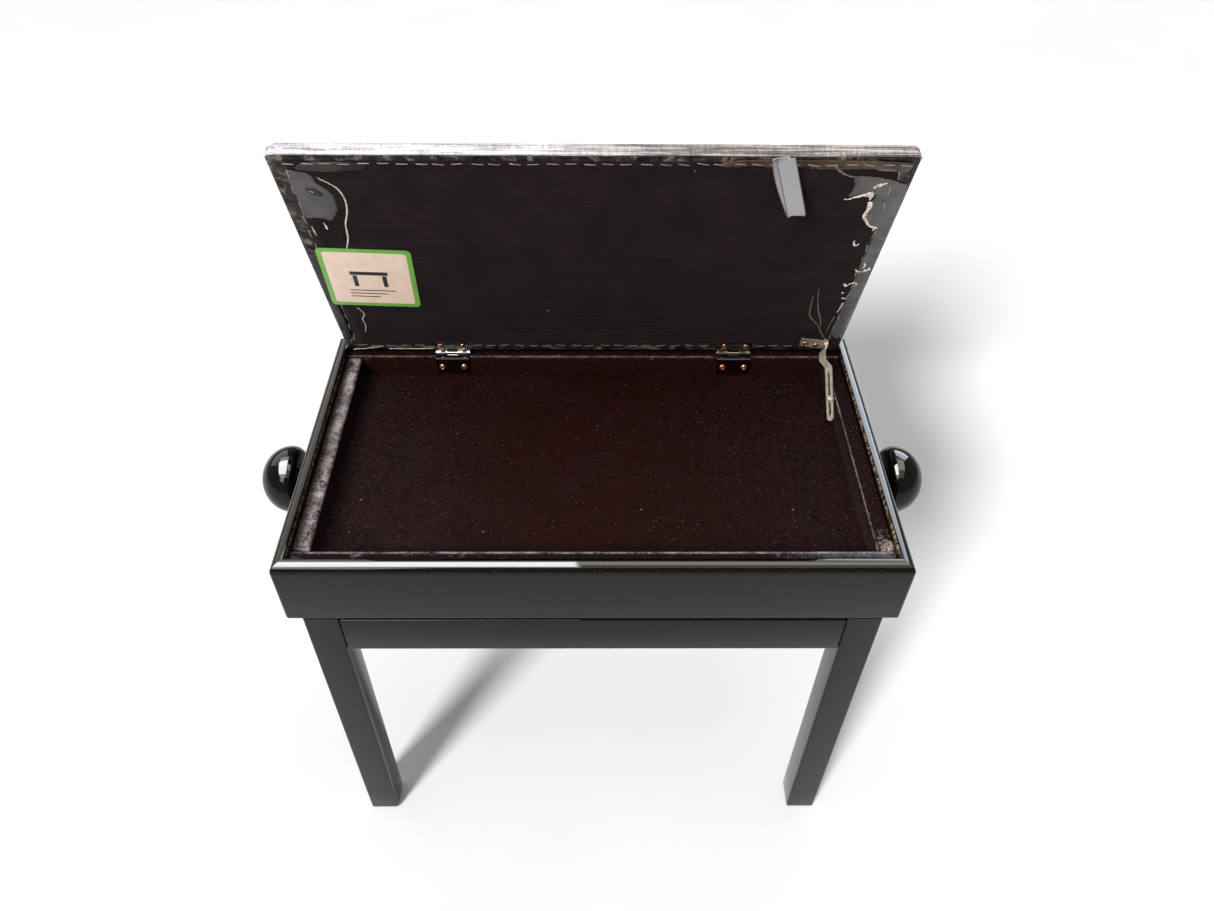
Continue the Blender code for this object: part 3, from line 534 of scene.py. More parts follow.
def leatherette():
    """Black coated fabric under clear crinkled transport film."""
    gloss = {"specular_ior_level": 0.12, "coat_weight": 0.08, "coat_roughness": 0.22}
    look = Look("leatherette", tone(20, 19, 20), 0.5, **gloss)
    look.set(roughness=look.ramp(look.noise(40.0, 4.0), (0.35, 0.46), (0.7, 0.56)))
    greys = (0.35, tone(17, 16, 17)), (0.75, tone(33, 31, 31))
    look.set(base_color=look.ramp(look.noise(18.0, 5.0, 0.6), *greys))
    leather_bump(look)
    look.bump(look.noise(55.0, 6.0, 0.65, distortion=1.4), 0.0016, 0.5, "Coat Normal")
    return look.material


def margin_leatherette():
    """The turned-under margin: dull and crinkled, with paler streaks that follow its crinkles."""
    gloss = {"specular_ior_level": 0.15, "coat_weight": 0.12, "coat_roughness": 0.2}
    look = Look("margin_leatherette", tone(40, 38, 38), 0.45, **gloss)
    crinkle_streaks = look.noise(60.0, 7.0, 0.72, distortion=1.2)
    greys = (0.40, tone(14, 11, 10)), (0.52, tone(46, 40, 37)), (0.64, tone(112, 102, 94))
    look.set(base_color=look.ramp(crinkle_streaks, *greys))
    leather_bump(look)
    look.bump(crinkle_streaks, 0.0030, 0.9, "Coat Normal")
    return look.material


def edge_film_painted_reflections():
    """Clear film pulled over the lid's free edge, its colour painted reflection: silver streaks of painted
    highlight, a browner painted reflection towards the right.
    """
    gloss = {"specular_ior_level": 0.08, "coat_weight": 0.06, "coat_roughness": 0.15}
    look = Look("edge_film_painted_reflections", tone(120, 118, 118), 0.4, **gloss)
    highlight_streaks = look.noise(1.0, 6.0, 0.72, place=look.stretched((11.0, 520.0, 520.0)), distortion=0.5)
    wrinkles = look.noise(1.0, 4.0, 0.6, place=look.stretched((420.0, 70.0, 70.0)), distortion=1.0)
    broad = look.noise(1.0, 3.0, 0.5, place=look.stretched((26.0, 120.0, 120.0)))
    marks = look.plus(look.times(highlight_streaks, 0.65), look.times(wrinkles, 0.15))
    marks = look.plus(marks, look.times(broad, 0.2))
    # painted reflections: silver where the film would mirror a bright ceiling, brown where it would mirror the
    # room on the right
    silver_painted_reflection = (0.42, tone(84, 80, 80)), (0.48, tone(158, 155, 156)), (0.56, tone(214, 214, 217))
    brown = (0.42, tone(30, 25, 23)), (0.49, tone(86, 77, 72)), (0.56, tone(166, 157, 151))
    toward_brown_reflection = look.slope(look.axis(0), -0.06, 0.08)
    look.set(base_color=look.mix(toward_brown_reflection, look.ramp(marks, *silver_painted_reflection), look.ramp(marks, *brown)))
    look.bump(marks, 0.0012, 0.8)
    look.bump(wrinkles, 0.0014, 0.9, "Coat Normal")
    return look.material


def film_look(name, low, high, coat):
    """Cloudy film over ribbed cloth."""
    look = Look(name, low, 0.32, specular_ior_level=0.3, coat_weight=coat, coat_roughness=0.16)
    cloud = look.noise(60.0, 6.0, 0.7, distortion=0.5)
    look.set(base_color=look.ramp(cloud, (0.30, low), (0.72, high)))
    look.bump(look.noise(110.0, 5.0, 0.6, distortion=1.0), 0.0006, 0.5)
    return look.material


def fold_look(name, low, high):
    """The pale opaque edge of torn or folded film; also the colour of painted highlights on the film."""
    look = Look(name, high, 0.4, coat_weight=0.5, coat_roughness=0.2)
    look.set(base_color=look.ramp(look.noise(300.0, 4.0, 0.65), (0.35, low), (0.62, high)))
    look.bump(look.noise(800.0, 3.0), 0.0003, 0.6)
    return look.material


def dust_cloth():
    """Black non-woven cloth: matte, ribbed, faintly purple, with a little dust."""
    sheen = {"specular_ior_level": 0.12, "sheen_weight": 0.03, "sheen_roughness": 0.5}
    look = Look("dust_cloth", tone(30, 26, 30), 0.9, **sheen)
    base = look.ramp(look.noise(5.0, 3.0, 0.5), (0.35, tone(17, 10, 12)), (0.65, tone(22, 12, 15)))
    height = look.node("ShaderNodeVectorMath", {0: look.place, 1: tuple(lid_up)}, 1, operation="DOT_PRODUCT")
    turn = look.times(look.maths("SUBTRACT", height, pin.dot(lid_up)), 2 * pi / RIB_PITCH)
    crest = look.plus(look.times(look.maths("COSINE", turn), 0.5), 0.5)
    worn = look.ramp(look.noise(30.0, 4.0, 0.6), (0.35, 0.25), (0.65, 1.0))
    base = look.mix(look.times(crest, worn), base, tone(37, 27, 29))
    dusty = look.ramp(look.noise(70.0, 6.0, 0.75), (0.62, 0.0), (0.82, 0.35))
    colour = look.mix(dusty, base, tone(66, 58, 60))
    specks = look.specks(60.0, (0.030, 0.050), 0.8, (0.70, 0.72))
    look.set(base_color=look.mix(specks, colour, tone(170, 160, 158)))
    look.bump(look.noise(1.0, 3.0, 0.6, place=look.stretched((700.0, 2400.0, 2400.0))), 0.00015, 0.6)
    return look.material


def satin(name, colour):
    """Smooth silver-grey satin with fine cross ribs."""
    look = Look(name, colour, 0.36, sheen_weight=0.3, sheen_roughness=0.3)
    threads = look.noise(1.0, 2.0, 0.5, place=look.stretched((900.0, 900.0, 5200.0)))
    shade = tuple(0.72 * c for c in colour[:3]) + (1.0,)
    look.set(base_color=look.mix(look.noise(24.0, 2.0, 0.4), colour, shade))
    look.bump(threads, 0.00010, 0.4)
    return look.material


def plated(name, bright, dull, rough_low, rough_high, stains=0.0, stain_colour=None, metallic=1.0):
    """Plated steel with a brushed grain, handling marks and optional tarnish."""
    look = Look(name, bright, rough_low, metallic)
    wear = look.noise(60.0, 4.0, 0.6)
    colour = look.ramp(wear, (0.35, bright), (0.75, dull))
    if stains:
        blots = look.noise(160.0, 4.0, 0.6, distortion=0.6)
        marks = look.ramp(blots, (0.66 - 0.15 * stains, 0.0), (0.76, stains))
        colour = look.mix(marks, colour, stain_colour)
    look.set(base_color=colour)
    look.set(roughness=look.ramp(wear, (0.3, rough_low), (0.75, rough_high)))
    look.bump(look.noise(1.0, 3.0, 0.6, place=look.stretched((300.0, 2600.0, 2600.0))), 0.00002, 0.4)
    return look.material


def raw_wood():
    """Unfinished softwood of the corner blocks."""
    look = Look("raw_wood", tone(172, 142, 108), 0.7)
    grain = look.noise(1.0, 5.0, 0.6, place=look.stretched((40.0, 260.0, 260.0)), distortion=0.7)
    browns = (0.3, tone(140, 108, 76)), (0.55, tone(182, 150, 114)), (0.8, tone(206, 178, 142))
    look.set(base_color=look.ramp(grain, *browns))
    look.bump(grain, 0.0004, 0.5)
    return look.material


def nylon():
    """Natural nylon of the rod's bushings."""
    depth = (0.002, 0.002, 0.002)
    look = Look("nylon", tone(214, 212, 204), 0.5, subsurface_weight=0.1, subsurface_radius=depth)
    look.set(roughness=look.ramp(look.noise(200.0, 4.0), (0.3, 0.4), (0.7, 0.6)))
    look.bump(look.noise(800.0, 3.0), 0.00008, 0.4)
    return look.material


def printed(name, colour, worn):
    """Printed paper of the label, very lightly mottled."""
    look = Look(name, colour, 0.45, coat_weight=0.3, coat_roughness=0.25)
    look.set(base_color=look.ramp(look.noise(90.0, 5.0, 0.6), (0.3, colour), (0.8, worn)))
    look.bump(look.noise(900.0, 3.0), 0.00004, 0.4)
    return look.material


LACQUER = lacquer()
# bare board on the right rail's inner edge, a painted highlight on the left rail's
CASE_LACQUER = lacquer("case_lacquer", board_and_painted_highlight)
LEATHERETTE = leatherette()
MARGIN = margin_leatherette()
EDGE_FILM = edge_film_painted_reflections()
PATCH_FILM = film_look("grey_film", tone(54, 53, 52), tone(76, 74, 72), 0.4)
SIDE_FILM = film_look("side_film", tone(58, 57, 57), tone(86, 83, 82), 0.4)
DARK_FILM = film_look("dark_film", tone(16, 14, 14), tone(52, 47, 45), 0.25)
BROWN_FILM = film_look("brown_film", tone(22, 16, 13), tone(92, 70, 52), 0.3)
# painted shade: a near-black film for the shaded pocket inside a fold
FOLD_PAINTED_SHADE = film_look("fold_painted_shade_film", tone(4, 4, 5), tone(18, 17, 18), 0.3)
TORN = fold_look("torn_film_edge_and_glint", tone(168, 150, 140), tone(222, 208, 198))
PALE_FOLD = fold_look("pale_film_fold_and_highlight", tone(160, 148, 134), tone(206, 192, 176))
DULL_FOLD = fold_look("dull_film_fold", tone(64, 54, 46), tone(112, 94, 80))
CLOTH = dust_cloth()
SATIN = satin("satin_ribbon", tone(143, 142, 145))
# painted shade: a darker satin for the ribbon's edges, as the shade along them and between its layers
RIBBON_EDGE_SHADE = satin("satin_painted_edge_shade", tone(90, 89, 92))
NICKEL = plated("nickel_plate", tone(150, 148, 145), tone(118, 114, 108), 0.08, 0.15, 0.25, tone(92, 76, 58))
RUST = tone(120, 78, 56)
AGED_NICKEL = plated("aged_nickel", tone(176, 165, 152), tone(126, 110, 96), 0.32, 0.5, 0.6, RUST, 0.5)
COPPERED = plated("coppered_steel", tone(214, 152, 112), tone(172, 108, 74), 0.24, 0.4, 0.3, tone(96, 60, 44))
STAPLE_STEEL = plated("staple_wire", tone(160, 152, 142), tone(110, 100, 90), 0.35, 0.5, metallic=0.6)
ZINC = plated("zinc_steel", tone(186, 188, 190), tone(150, 152, 156), 0.32, 0.5)
WOOD = raw_wood()
NYLON = nylon()
AUBERGINE = tone(11, 4, 4)
FLOOR_VELVET = velvet("floor_velvet", AUBERGINE, tone(60, 44, 46), floor_nap, 0.14, 0.65)
# painted sheen: the left ledge's velvet is painted pale as if lit, the other ledges are left dark
LEFT_VELVET = velvet("left_ledge_velvet_painted_sheen", tone(20, 15, 16), tone(206, 190, 190), left_painted_sheen, 0.3)
RIGHT_VELVET = velvet("right_ledge_velvet", AUBERGINE, tone(204, 186, 176), right_highlight_and_dust, 0.62)
FRONT_VELVET = velvet("front_ledge_velvet", tone(16, 11, 14), tone(190, 180, 186), front_highlight_patches_dust, 0.3)
# painted highlight along the rear ledge's rounded front edge
REAR_HIGHLIGHT = edge_painted_highlight("ledge_rear", 1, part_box("ledge_rear")[0].y + 0.0042, 0.0016, 0.9)
REAR_VELVET = velvet("rear_ledge_velvet", tone(15, 8, 8), tone(150, 122, 116), REAR_HIGHLIGHT, 0.25)


# ---------------------------------------------------------------- case and leg frame
def case_shell():
    """Four mitred panels lacquered into one seamless rim, bullnosed along the top."""
    depth = panel_thickness
    height = case_high.z - case_low.z
    profile = arc((depth - BULLNOSE, height - BULLNOSE), (BULLNOSE, BULLNOSE), 0.0, pi / 2, 14)
    profile += arc((RIM_EASE, height - RIM_EASE), (RIM_EASE, RIM_EASE), pi / 2, pi, 5)
    profile += arc((0.0006, 0.0006), (0.0006, 0.0006), pi, 1.5 * pi, 2)
    profile += arc((depth - UNDER_EASE, UNDER_EASE), (UNDER_EASE, UNDER_EASE), -pi / 2, 0.0, 5)
    inner_x = case_high.x - depth - case_middle.x
    inner_y = case_high.y - depth - case_middle.y
    rings = []
    for outward, up in profile:
        radius = max(CASE_CORNER - (depth - outward), 0.0005)
        outline = rounded(inner_x + outward, inner_y + outward, radius)
        rings.append([(case_middle.x + x, case_middle.y + y, case_low.z + up) for x, y in outline])
    made = skinned("lacquered_case", rings, CASE_LACQUER, "join")
    axle = middle_of("rod_bushing_left")
    circle = arc((0, 0), (ROD_BORE, ROD_BORE), 0, 2 * pi * 31 / 32, 31)
    ends = (case_low.x - 0.01, case_high.x + 0.01)
    rings = [[(x, axle.y + a, axle.z + b) for a, b in circle] for x in ends]
    carve(made, skinned("drill", rings, CASE_LACQUER))
    belongs(made, "case", "black_lacquer", *[f"case_panel_{s}" for s in ("front", "rear", "left", "right")])


def leg(node):
    """A straight square leg with softened edges and a rounded foot."""
    low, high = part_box(node)
    middle = middle_of(node)
    half_width = (high.x - low.x) / 2
    foot = arc((half_width - FOOT_ROUND, FOOT_ROUND), (FOOT_ROUND, FOOT_ROUND), -pi / 2, 0.0, 6)
    widths = [(up, half) for half, up in foot]
    widths += [(high.z * i / 10, half_width) for i in range(1, 11)]
    rings = []
    for up, half in widths:
        rings.append([(middle.x + x, middle.y + y, up) for x, y in rounded(half, half, LEG_EDGE)])
    belongs(skinned("lacquered_" + node, rings, LACQUER, sharp=50.0), "leg_frame", "black_lacquer", node)


def apron(node):
    """A rail between two legs."""
    low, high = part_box(node)
    made = soft_box("lacquered_" + node, low, high, APRON_EDGE, LACQUER)
    belongs(made, "leg_frame", "black_lacquer", node)


def knob(node, side):
    """A deep mushroom knob: collar, neck, rolled back edge and an even dome."""
    low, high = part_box(node)
    axle = middle_of(node)
    radius = (high.z - low.z) / 2
    face = case_high.x
    reach = max(abs(low.x), abs(high.x)) - face
    rim = 0.0260                      # the widest place's distance from the case
    profile = [(0.0, reach)]
    profile += arc((0.0, rim), (radius, reach - rim), pi / 2, 0.0, 26)[1:]
    profile += arc((radius - 0.0085, rim), (0.0085, 0.0105), 0.0, -pi / 2, 12)[1:]
    profile += [(0.0150, 0.0155), (0.0128, 0.0152), (0.0116, 0.0140), (0.0113, 0.0120), (0.0113, 0.0040)]
    profile += [(0.0125, 0.0032), (0.0129, 0.0022), (0.0125, 0.0012), (0.0110, 0.0006)]
    profile += [(0.0054, 0.0006), (0.0054, 0.0132), (0.0, 0.0132)]
    shape = bmesh.new()
    turned_into(shape, profile, 72, lambda along, a, b: (side * (face + along), axle.y + a, axle.z + b))
    made = from_bmesh("turned_" + node, shape, LACQUER, 50.0)
    belongs(made, "adjuster", "black_lacquer", node)


case_shell()
for front in ("front", "rear"):
    for side in ("left", "right"):
        leg(f"leg_{front}_{side}")
for side in ("front", "rear", "left", "right"):
    apron("apron_" + side)
knob("knob_left", -1)
knob("knob_right", 1)


# ---------------------------------------------------------------- velvet tray
def velvet_ledge(side, look):
    """A velvet-wrapped batten, round towards the tray, slightly uneven as wrapped cloth is."""
    node = "ledge_" + side
    low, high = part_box(node)
    lengthwise = side in ("front", "rear")
    across = (high.y - low.y) if lengthwise else (high.x - low.x)
    height = high.z - low.z
    fall = REAR_FALL if side == "rear" else 0.0
    section = [(0.0, 0.0), (0.0, height * 0.5), (0.0, height - fall)]
    if fall:
        section += [(across - 0.0072, height - 0.65 * fall), (across - 0.0050, height - 0.1 * fall)]
    else:
        section += [(across * 0.25, height), (across * 0.5, height)]
    section += arc((across - LEDGE_ROUND, height - LEDGE_ROUND), (LEDGE_ROUND, LEDGE_ROUND), pi / 2, 0.0, 7)
    section += [(across, height * 0.45), (across, height * 0.2), (across, 0.0)]
    start, end = (low.x, high.x) if lengthwise else (low.y, high.y)
    wall = {"front": low.y, "rear": high.y, "left": low.x, "right": high.x}[side]
    inward_sign = 1 if side in ("front", "left") else -1
    count = int((end - start) / 0.003)
    rings = []
    for i in range(count + 1):
        along = start + (end - start) * i / count
        ring = []
        for inward, up in section:
            dent = 0.00035 * (0.5 + 0.5 * wobble((along, inward * 2, up * 2), 60.0, 3.0 + len(side)))
            height_here = low.z + max(up - dent, 0.0)
            place = wall + inward_sign * max(inward - dent, 0.0)
            ring.append((along, place, height_here) if lengthwise else (place, along, height_here))
        rings.append(ring)
    belongs(skinned("velvet_" + node, rings, look, sharp=80.0), "case", "dark_velvet", node)


def velvet_floor():
    """The lined tray floor, gently uneven."""
    low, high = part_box("tray_floor")
    columns, lines = 180, 96
    top = []
    for j in range(lines + 1):
        y = low.y + (high.y - low.y) * j / lines
        row = []
        for i in range(columns + 1):
            x = low.x + (high.x - low.x) * i / columns
            dip = 0.00030 * (0.5 + 0.5 * wobble((x, y, 0.0), 16.0, 5.0))
            dip += 0.00012 * (0.5 + 0.5 * wobble((x, y, 0.0), 120.0, 8.0))
            row.append((x, y, high.z - dip))
        top.append(row)
    made = surface("velvet_tray_floor", top, FLOOR_VELVET)
    thicken(made, high.z - low.z - 0.0008, -1.0 if made.data.polygons[0].normal.z > 0 else 1.0)
    belongs(made, "case", "dark_velvet", "tray_floor")


ledge_looks = {"left": LEFT_VELVET, "right": RIGHT_VELVET, "front": FRONT_VELVET, "rear": REAR_VELVET}
for side, look in ledge_looks.items():
    velvet_ledge(side, look)
velvet_floor()


# ---------------------------------------------------------------- lid
def padded_seat():
    """Foam on a board under one stretched cover. Its own frame: X, up from the underside, along."""
    dome = lid_thickness - board_thickness
    rises = [(0.0030, 0.0), (0.0008, 0.0008), (0.0004, 0.0026), (0.0004, board_thickness + 0.0012)]
    for inset, share in SEAT_DOME:
        rises.append((inset, board_thickness + share * (dome - 0.003)))
    rings = []
    for inset, rise in rises:
        outline = rounded(lid_half - inset, lid_length / 2 - inset, LID_CORNER + CORNER_GROWTH * rise)
        rings.append([(x, rise, lid_low + lid_length / 2 + z) for x, z in outline])
    made = skinned("padded_seat", rings, LEATHERETTE, sharp=80.0)
    inflate(made)
    made.data.transform(Matrix.Translation(pin) @ LID_TURN @ Matrix.Translation((0.0, -underside, 0.0)))
    made.data.update()
    made.data.shade_smooth()
    belongs(made, "lid", "leatherette", "seat_cushion", "lid_board")


def swell(place):
    """How far the padding may rise at a place: nothing at the edge, most in the middle."""
    from_side = lid_half - abs(place[0])
    from_end = min(place[2] - lid_low, lid_high - place[2])
    inward = min(1.0, max(0.0, min(from_side, from_end) - 0.004) / 0.06)
    above = min(1.0, max(0.0, place[1] - board_thickness) / 0.004)
    return SWELL * inward * above


def inflate(made):
    """Swell the pad by cloth simulation under pressure, pinned where the board holds it."""
    remesh = made.modifiers.new("remesh", "REMESH")
    remesh.mode = "VOXEL"
    remesh.voxel_size = 0.0045
    applied(made)
    start = np.array([v.co for v in made.data.vertices])
    group = made.vertex_groups.new(name="held")
    group.add([v.index for v in made.data.vertices if swell(v.co) == 0.0], 1.0, "REPLACE")
    cloth = made.modifiers.new("cloth", "CLOTH")
    cloth.settings.use_pressure = True
    cloth.settings.uniform_pressure_force = 4.0
    cloth.settings.vertex_group_mass = "held"
    cloth.settings.effector_weights.gravity = 0.0
    cloth.collision_settings.use_collision = False
    for number in range(1, 21):
        bpy.context.scene.frame_set(number)
    applied(made)
    bpy.context.scene.frame_set(1)
    moved = np.array([v.co for v in made.data.vertices]) - start
    limit = np.array([[swell(place)] for place in start])
    length = np.linalg.norm(moved, axis=1, keepdims=True)
    moved *= np.minimum(1.0, limit / np.maximum(length, 1e-9))
    made.data.vertices.foreach_set("co", (start + moved).astype(np.float32).ravel())
    subdivision = made.modifiers.new("smooth", "SUBSURF")
    subdivision.levels = 1
    applied(made)


def eased(x, along, half_x, half_along, radius, middle):
    """A point of a rectangle's outline, moved onto the round corner if it is past where that starts."""
    radius = max(radius, 0.0004)
    over_x, over_along = abs(x) - (half_x - radius), abs(along) - (half_along - radius)
    if over_x > 0.0 and over_along > 0.0:
        pull = radius / (over_x**2 + over_along**2) ** 0.5
        x = (half_x - radius + over_x * pull) * (1 if x > 0 else -1)
        along = (half_along - radius + over_along * pull) * (1 if along > 0 else -1)
    return x, middle + along


def folded_margin():
    """The cover's edge, turned under the board, glued flat and pleated at its corners."""
    middle = (lid_low + lid_high) / 2
    half_length = lid_length / 2
    profile = ((-0.0001, -0.0030), (-0.0002, -0.0010), (0.0006, 0.0004), (0.0030, 0.0006), (0.0080, 0.0006),
               (0.0125, 0.0006), (0.0165, 0.0005), (0.0200, 0.0004), (0.0203, 0.0002), (0.0200, -0.0004))
    per_side = 150
    rings = []
    for inset, out in profile:
        width, length = lid_half - inset, half_length - inset
        corners = [(width, length), (-width, length), (-width, -length), (width, -length)]
        ring = []
        for k, corner in enumerate(corners):
            following = corners[(k + 1) % 4]
            for i in range(per_side):
                t = i / per_side
                x = corner[0] + (following[0] - corner[0]) * t
                up = middle + corner[1] + (following[1] - corner[1]) * t
                lift = 0.0
                if out > 0.0:
                    side = abs(following[0] - corner[0]) + abs(following[1] - corner[1])
                    pleat = max(0.0, 1.0 - min(t, 1.0 - t) * side / PLEATS)
                    lift = 0.00022 * wobble((x, up, inset), 90.0, 2.0)
                    lift += 0.00012 * wobble((x, up, inset), 260.0, 4.0)
                    lift += 0.0005 * pleat * wobble((x * 3, up * 3, inset), 300.0, 7.0)
                across, along = eased(x, up - middle, width, length, LID_CORNER - inset, middle)
                ring.append(on_lid(across, along, out + lift))
        rings.append(ring)
    belongs(skinned("folded_margin", rings, MARGIN, "join", 70.0), "lid", "leatherette")


hinge_boxes = [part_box("hinge_upper_leaf_" + side) for side in ("left", "right")]
bracket_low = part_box("stay_bracket")[0]
leaf_reach = span("hinge_upper_leaf_left", lid_up)[1]
bracket_reach = span("stay_bracket", lid_up)[1] - LUG_RISE


def cloth_start(x):
    """Where the dust cloth begins above the hinge edge, at a place across the lid."""
    for low, high in hinge_boxes:
        if low.x - CUTOUT < x < high.x + CUTOUT:
            return leaf_reach + 0.002
    if x > bracket_low.x - CUTOUT:
        return bracket_reach + 0.002
    return lid_low + CLOTH_HINGED


def cloth_height(x, up):
    """The ribbed, slightly slack surface of the dust cloth off the lid's underside."""
    rib = RIB_HEIGHT * (0.5 + 0.5 * cos(2 * pi * up / RIB_PITCH)) ** 0.7
    slack = 0.0003 * wobble((x, up, 0.0), 14.0, 6.0) + 0.00012 * wobble((x, up, 0.0), 60.0, 9.0)
    return CLOTH_OUT + rib + slack


def ribbed_cloth():
    """Ribbed dust cloth stapled under the lid, cut around the hinges and the stay's bracket."""
    edge = lid_half - CLOTH_SIDE
    marks = [-edge, edge, bracket_low.x - CUTOUT]
    for low, high in hinge_boxes:
        marks += [low.x - CUTOUT, high.x + CUTOUT]
    marks.sort()
    columns = []
    for start, end in zip(marks, marks[1:]):
        count = max(1, round((end - start) / 0.008))
        stops = [start + (end - start) * i / count for i in range(count + 1)]
        columns += zip(stops, stops[1:])
    end_up = lid_high - CLOTH_FREE
    rows = int((end_up - lid_low) / RIB_PITCH * 6)
    step = (end_up - lid_low) / rows
    shape = bmesh.new()
    verts = {}

    def corner(x, row):
        key = (round(x, 6), row)
        if key not in verts:
            up = lid_low + step * row
            verts[key] = shape.verts.new(on_lid(x, up, cloth_height(x, up)))
        return verts[key]

    for left, right in columns:
        first = int((cloth_start((left + right) / 2) - lid_low) / step)
        for row in range(first, rows):
            low_pair = (corner(left, row), corner(right, row))
            shape.faces.new((*low_pair, corner(right, row + 1), corner(left, row + 1)))
    made = from_bmesh("ribbed_dust_cloth", shape, CLOTH, 75.0)
    thicken(made, FABRIC)
    belongs(made, "lid", "dust_cloth", "dust_cover")


def staples():
    """Wire staples along the cloth's four edges, none quite straight."""
    pick = random.Random(7)
    shape = bmesh.new()
    places = []
    count = int(2 * (lid_half - 0.012) / STAPLE_PITCH)
    for i in range(count + 1):
        places.append((-(lid_half - 0.018) + i * STAPLE_PITCH, lid_high - 0.0094, radians(-4.0)))
    for side, inset in ((-1, 0.0135), (1, 0.0150)):
        for i in range(14):
            places.append((side * (lid_half - inset), 0.030 + i * 0.0187, pi / 2))
    for i in range(count + 1):
        x = -(lid_half - 0.018) + i * STAPLE_PITCH
        if max(cloth_start(x - 0.005), cloth_start(x), cloth_start(x + 0.005)) < 0.016:
            places.append((x, 0.0145, 0.0))
    reach = STAPLE_LENGTH / 2
    for x, up, turn in places:
        x += pick.uniform(-0.0014, 0.0014)
        up += pick.uniform(-0.0007, 0.0007)
        turn += radians(pick.gauss(0.0, 5.0))
        path = [(-reach, -0.0014), (-reach, -0.0002), (-reach + 0.0004, 0.0), (0.0, 0.0001)]
        path += [(reach - 0.0004, 0.0), (reach, -0.0002), (reach, -0.0014)]
        out = CLOTH_OUT + RIB_HEIGHT + 0.00045
        points = [on_lid(x + a * cos(turn), up + a * sin(turn), out + off) for a, off in path]
        wire_into(shape, points, 0.00050, 0.00025)
    belongs(from_bmesh("staples", shape, STAPLE_STEEL, 50.0), "lid", "nickel")


def dome_share(inset):
    """Share of the padding's full height at a distance in from the lid's edge."""
    insets, shares = zip((0.0, 0.0), *SEAT_DOME)
    return float(np.interp(inset, insets, shares))


def film_over_edge():
    """Clear film pulled round the lid's free edge and gathered into fine crinkles."""
    columns = 520
    dome = lid_thickness - board_thickness
    proud = FILM_OFF + 0.0002
    path = [(-0.0008, 0.0006), (0.0002, 0.0005), (FILM_OFF, -0.0008), (FILM_OFF, -0.0040)]
    path.append((FILM_OFF, -board_thickness))
    path += [(proud - inset, -board_thickness - share * dome - 0.0008) for inset, share in SEAT_DOME[:4]]
    line = smooth_line([(a, b, 0.0) for a, b in path], 4)
    rows = []
    for number, point in enumerate(line):
        row = []
        for i in range(columns + 1):
            x = (lid_half + 0.0002) * (2 * i / columns - 1)
            share = number / len(line)
            aside = lid_half - abs(x)
            corner = max(0.0, 1.0 - aside / 0.022)
            radius = LID_CORNER + CORNER_GROWTH * max(0.0, -point.y)
            over = max(0.0, radius - 0.0010 - aside)
            fall = radius - (radius**2 - over**2) ** 0.5
            out = point.y
            if out < -board_thickness:
                inset = proud - point.x
                out += dome * (dome_share(inset) - dome_share(min(inset, aside)))
            crinkle = 0.00030 * wobble((x * 0.5, share * 0.25, 0.0), 70.0, 1.0)
            crinkle += (0.00022 + 0.0006 * corner) * wobble((x * 6.0, share * 0.20, 0.0), 60.0, 2.5)
            off = min(max(0.6 * crinkle, -0.0003), 0.0002) * min(1.0, share * 4.0)
            row.append(on_lid(x, lid_high + point.x + off - fall, out))
        rows.append(row)
    made = surface("edge_film_free", rows, EDGE_FILM, 80.0)
    thicken(made, 0.00015)
    belongs(made, "lid", "leatherette")


def film_piece(name, outline, look, out=0.0003, fine=0.0012):
    """Film on the ribbed cloth, inside a smooth outline given by a few points (across, up) in mm."""
    ragged = []
    for point in smooth_line([(x * MM, up * MM, 0.0) for x, up in outline], 6, closed=True):
        fray = 0.0005 * wobble(point, 450.0, 1.0)
        ragged.append(Vector((point.x + fray, point.y - fray)))
    count = len(ragged)
    low_x, high_x = min(p.x for p in ragged), max(p.x for p in ragged)
    low_up, high_up = min(p.y for p in ragged), max(p.y for p in ragged)
    points = list(ragged)
    for j in range(int((high_up - low_up) / (fine * 0.75))):
        for i in range(int((high_x - low_x) / (fine * 2.5))):
            points.append(Vector((low_x + (i + 0.5) * fine * 2.5, low_up + (j + 0.5) * fine * 0.75)))
    edges = [(i, (i + 1) % count) for i in range(count)]
    points, _, faces, *_ = delaunay_2d_cdt(points, edges, [list(range(count))], 1, 1e-6)
    shape = bmesh.new()
    verts = []
    for point in points:
        lift = 0.00022 * (0.5 + 0.5 * wobble((point.x, point.y, 0.0), 160.0, 2.0))
        verts.append(shape.verts.new(on_lid(point.x, point.y, cloth_height(point.x, point.y) + out + lift)))
    for face in faces:
        shape.faces.new([verts[i] for i in face])
    for vert in [v for v in shape.verts if not v.link_faces]:
        shape.verts.remove(vert)
    made = from_bmesh(name, shape, look, 80.0)
    thicken(made, 0.0001)
    return belongs(made, "lid", "leatherette")


def curls_of_film(name, look, *curls):
    """Folded or torn film standing proud, or pale strips of painted highlight: each curl is a run of (across, up,
    half width) in mm.
    """
    shape = bmesh.new()
    for curl in curls:
        line = smooth_line([[value * MM for value in point] for point in curl], 7)
        places = []
        for point in line:
            crumple = 0.00035 * wobble((point.x, point.y, 0.0), 420.0, 5.0)
            across = point.x + 0.5 * crumple
            places.append(on_lid(across, point.y, cloth_height(across, point.y) + 0.0006 + crumple))
        rings = []
        for i, place in enumerate(places):
            along = direction_at(places, i)
            side = along.cross(lid_out).normalized()
            half = line[i].z * (1.0 + 0.5 * wobble(place, 600.0, 3.0))
            ring = []
            for k in range(10):
                angle = 2 * pi * k / 10
                ring.append(place + side * half * cos(angle) + lid_out * 0.00028 * sin(angle))
            rings.append(ring)
        skin_into(shape, rings)
    belongs(from_bmesh(name, shape, look, 60.0), "lid", "leatherette")


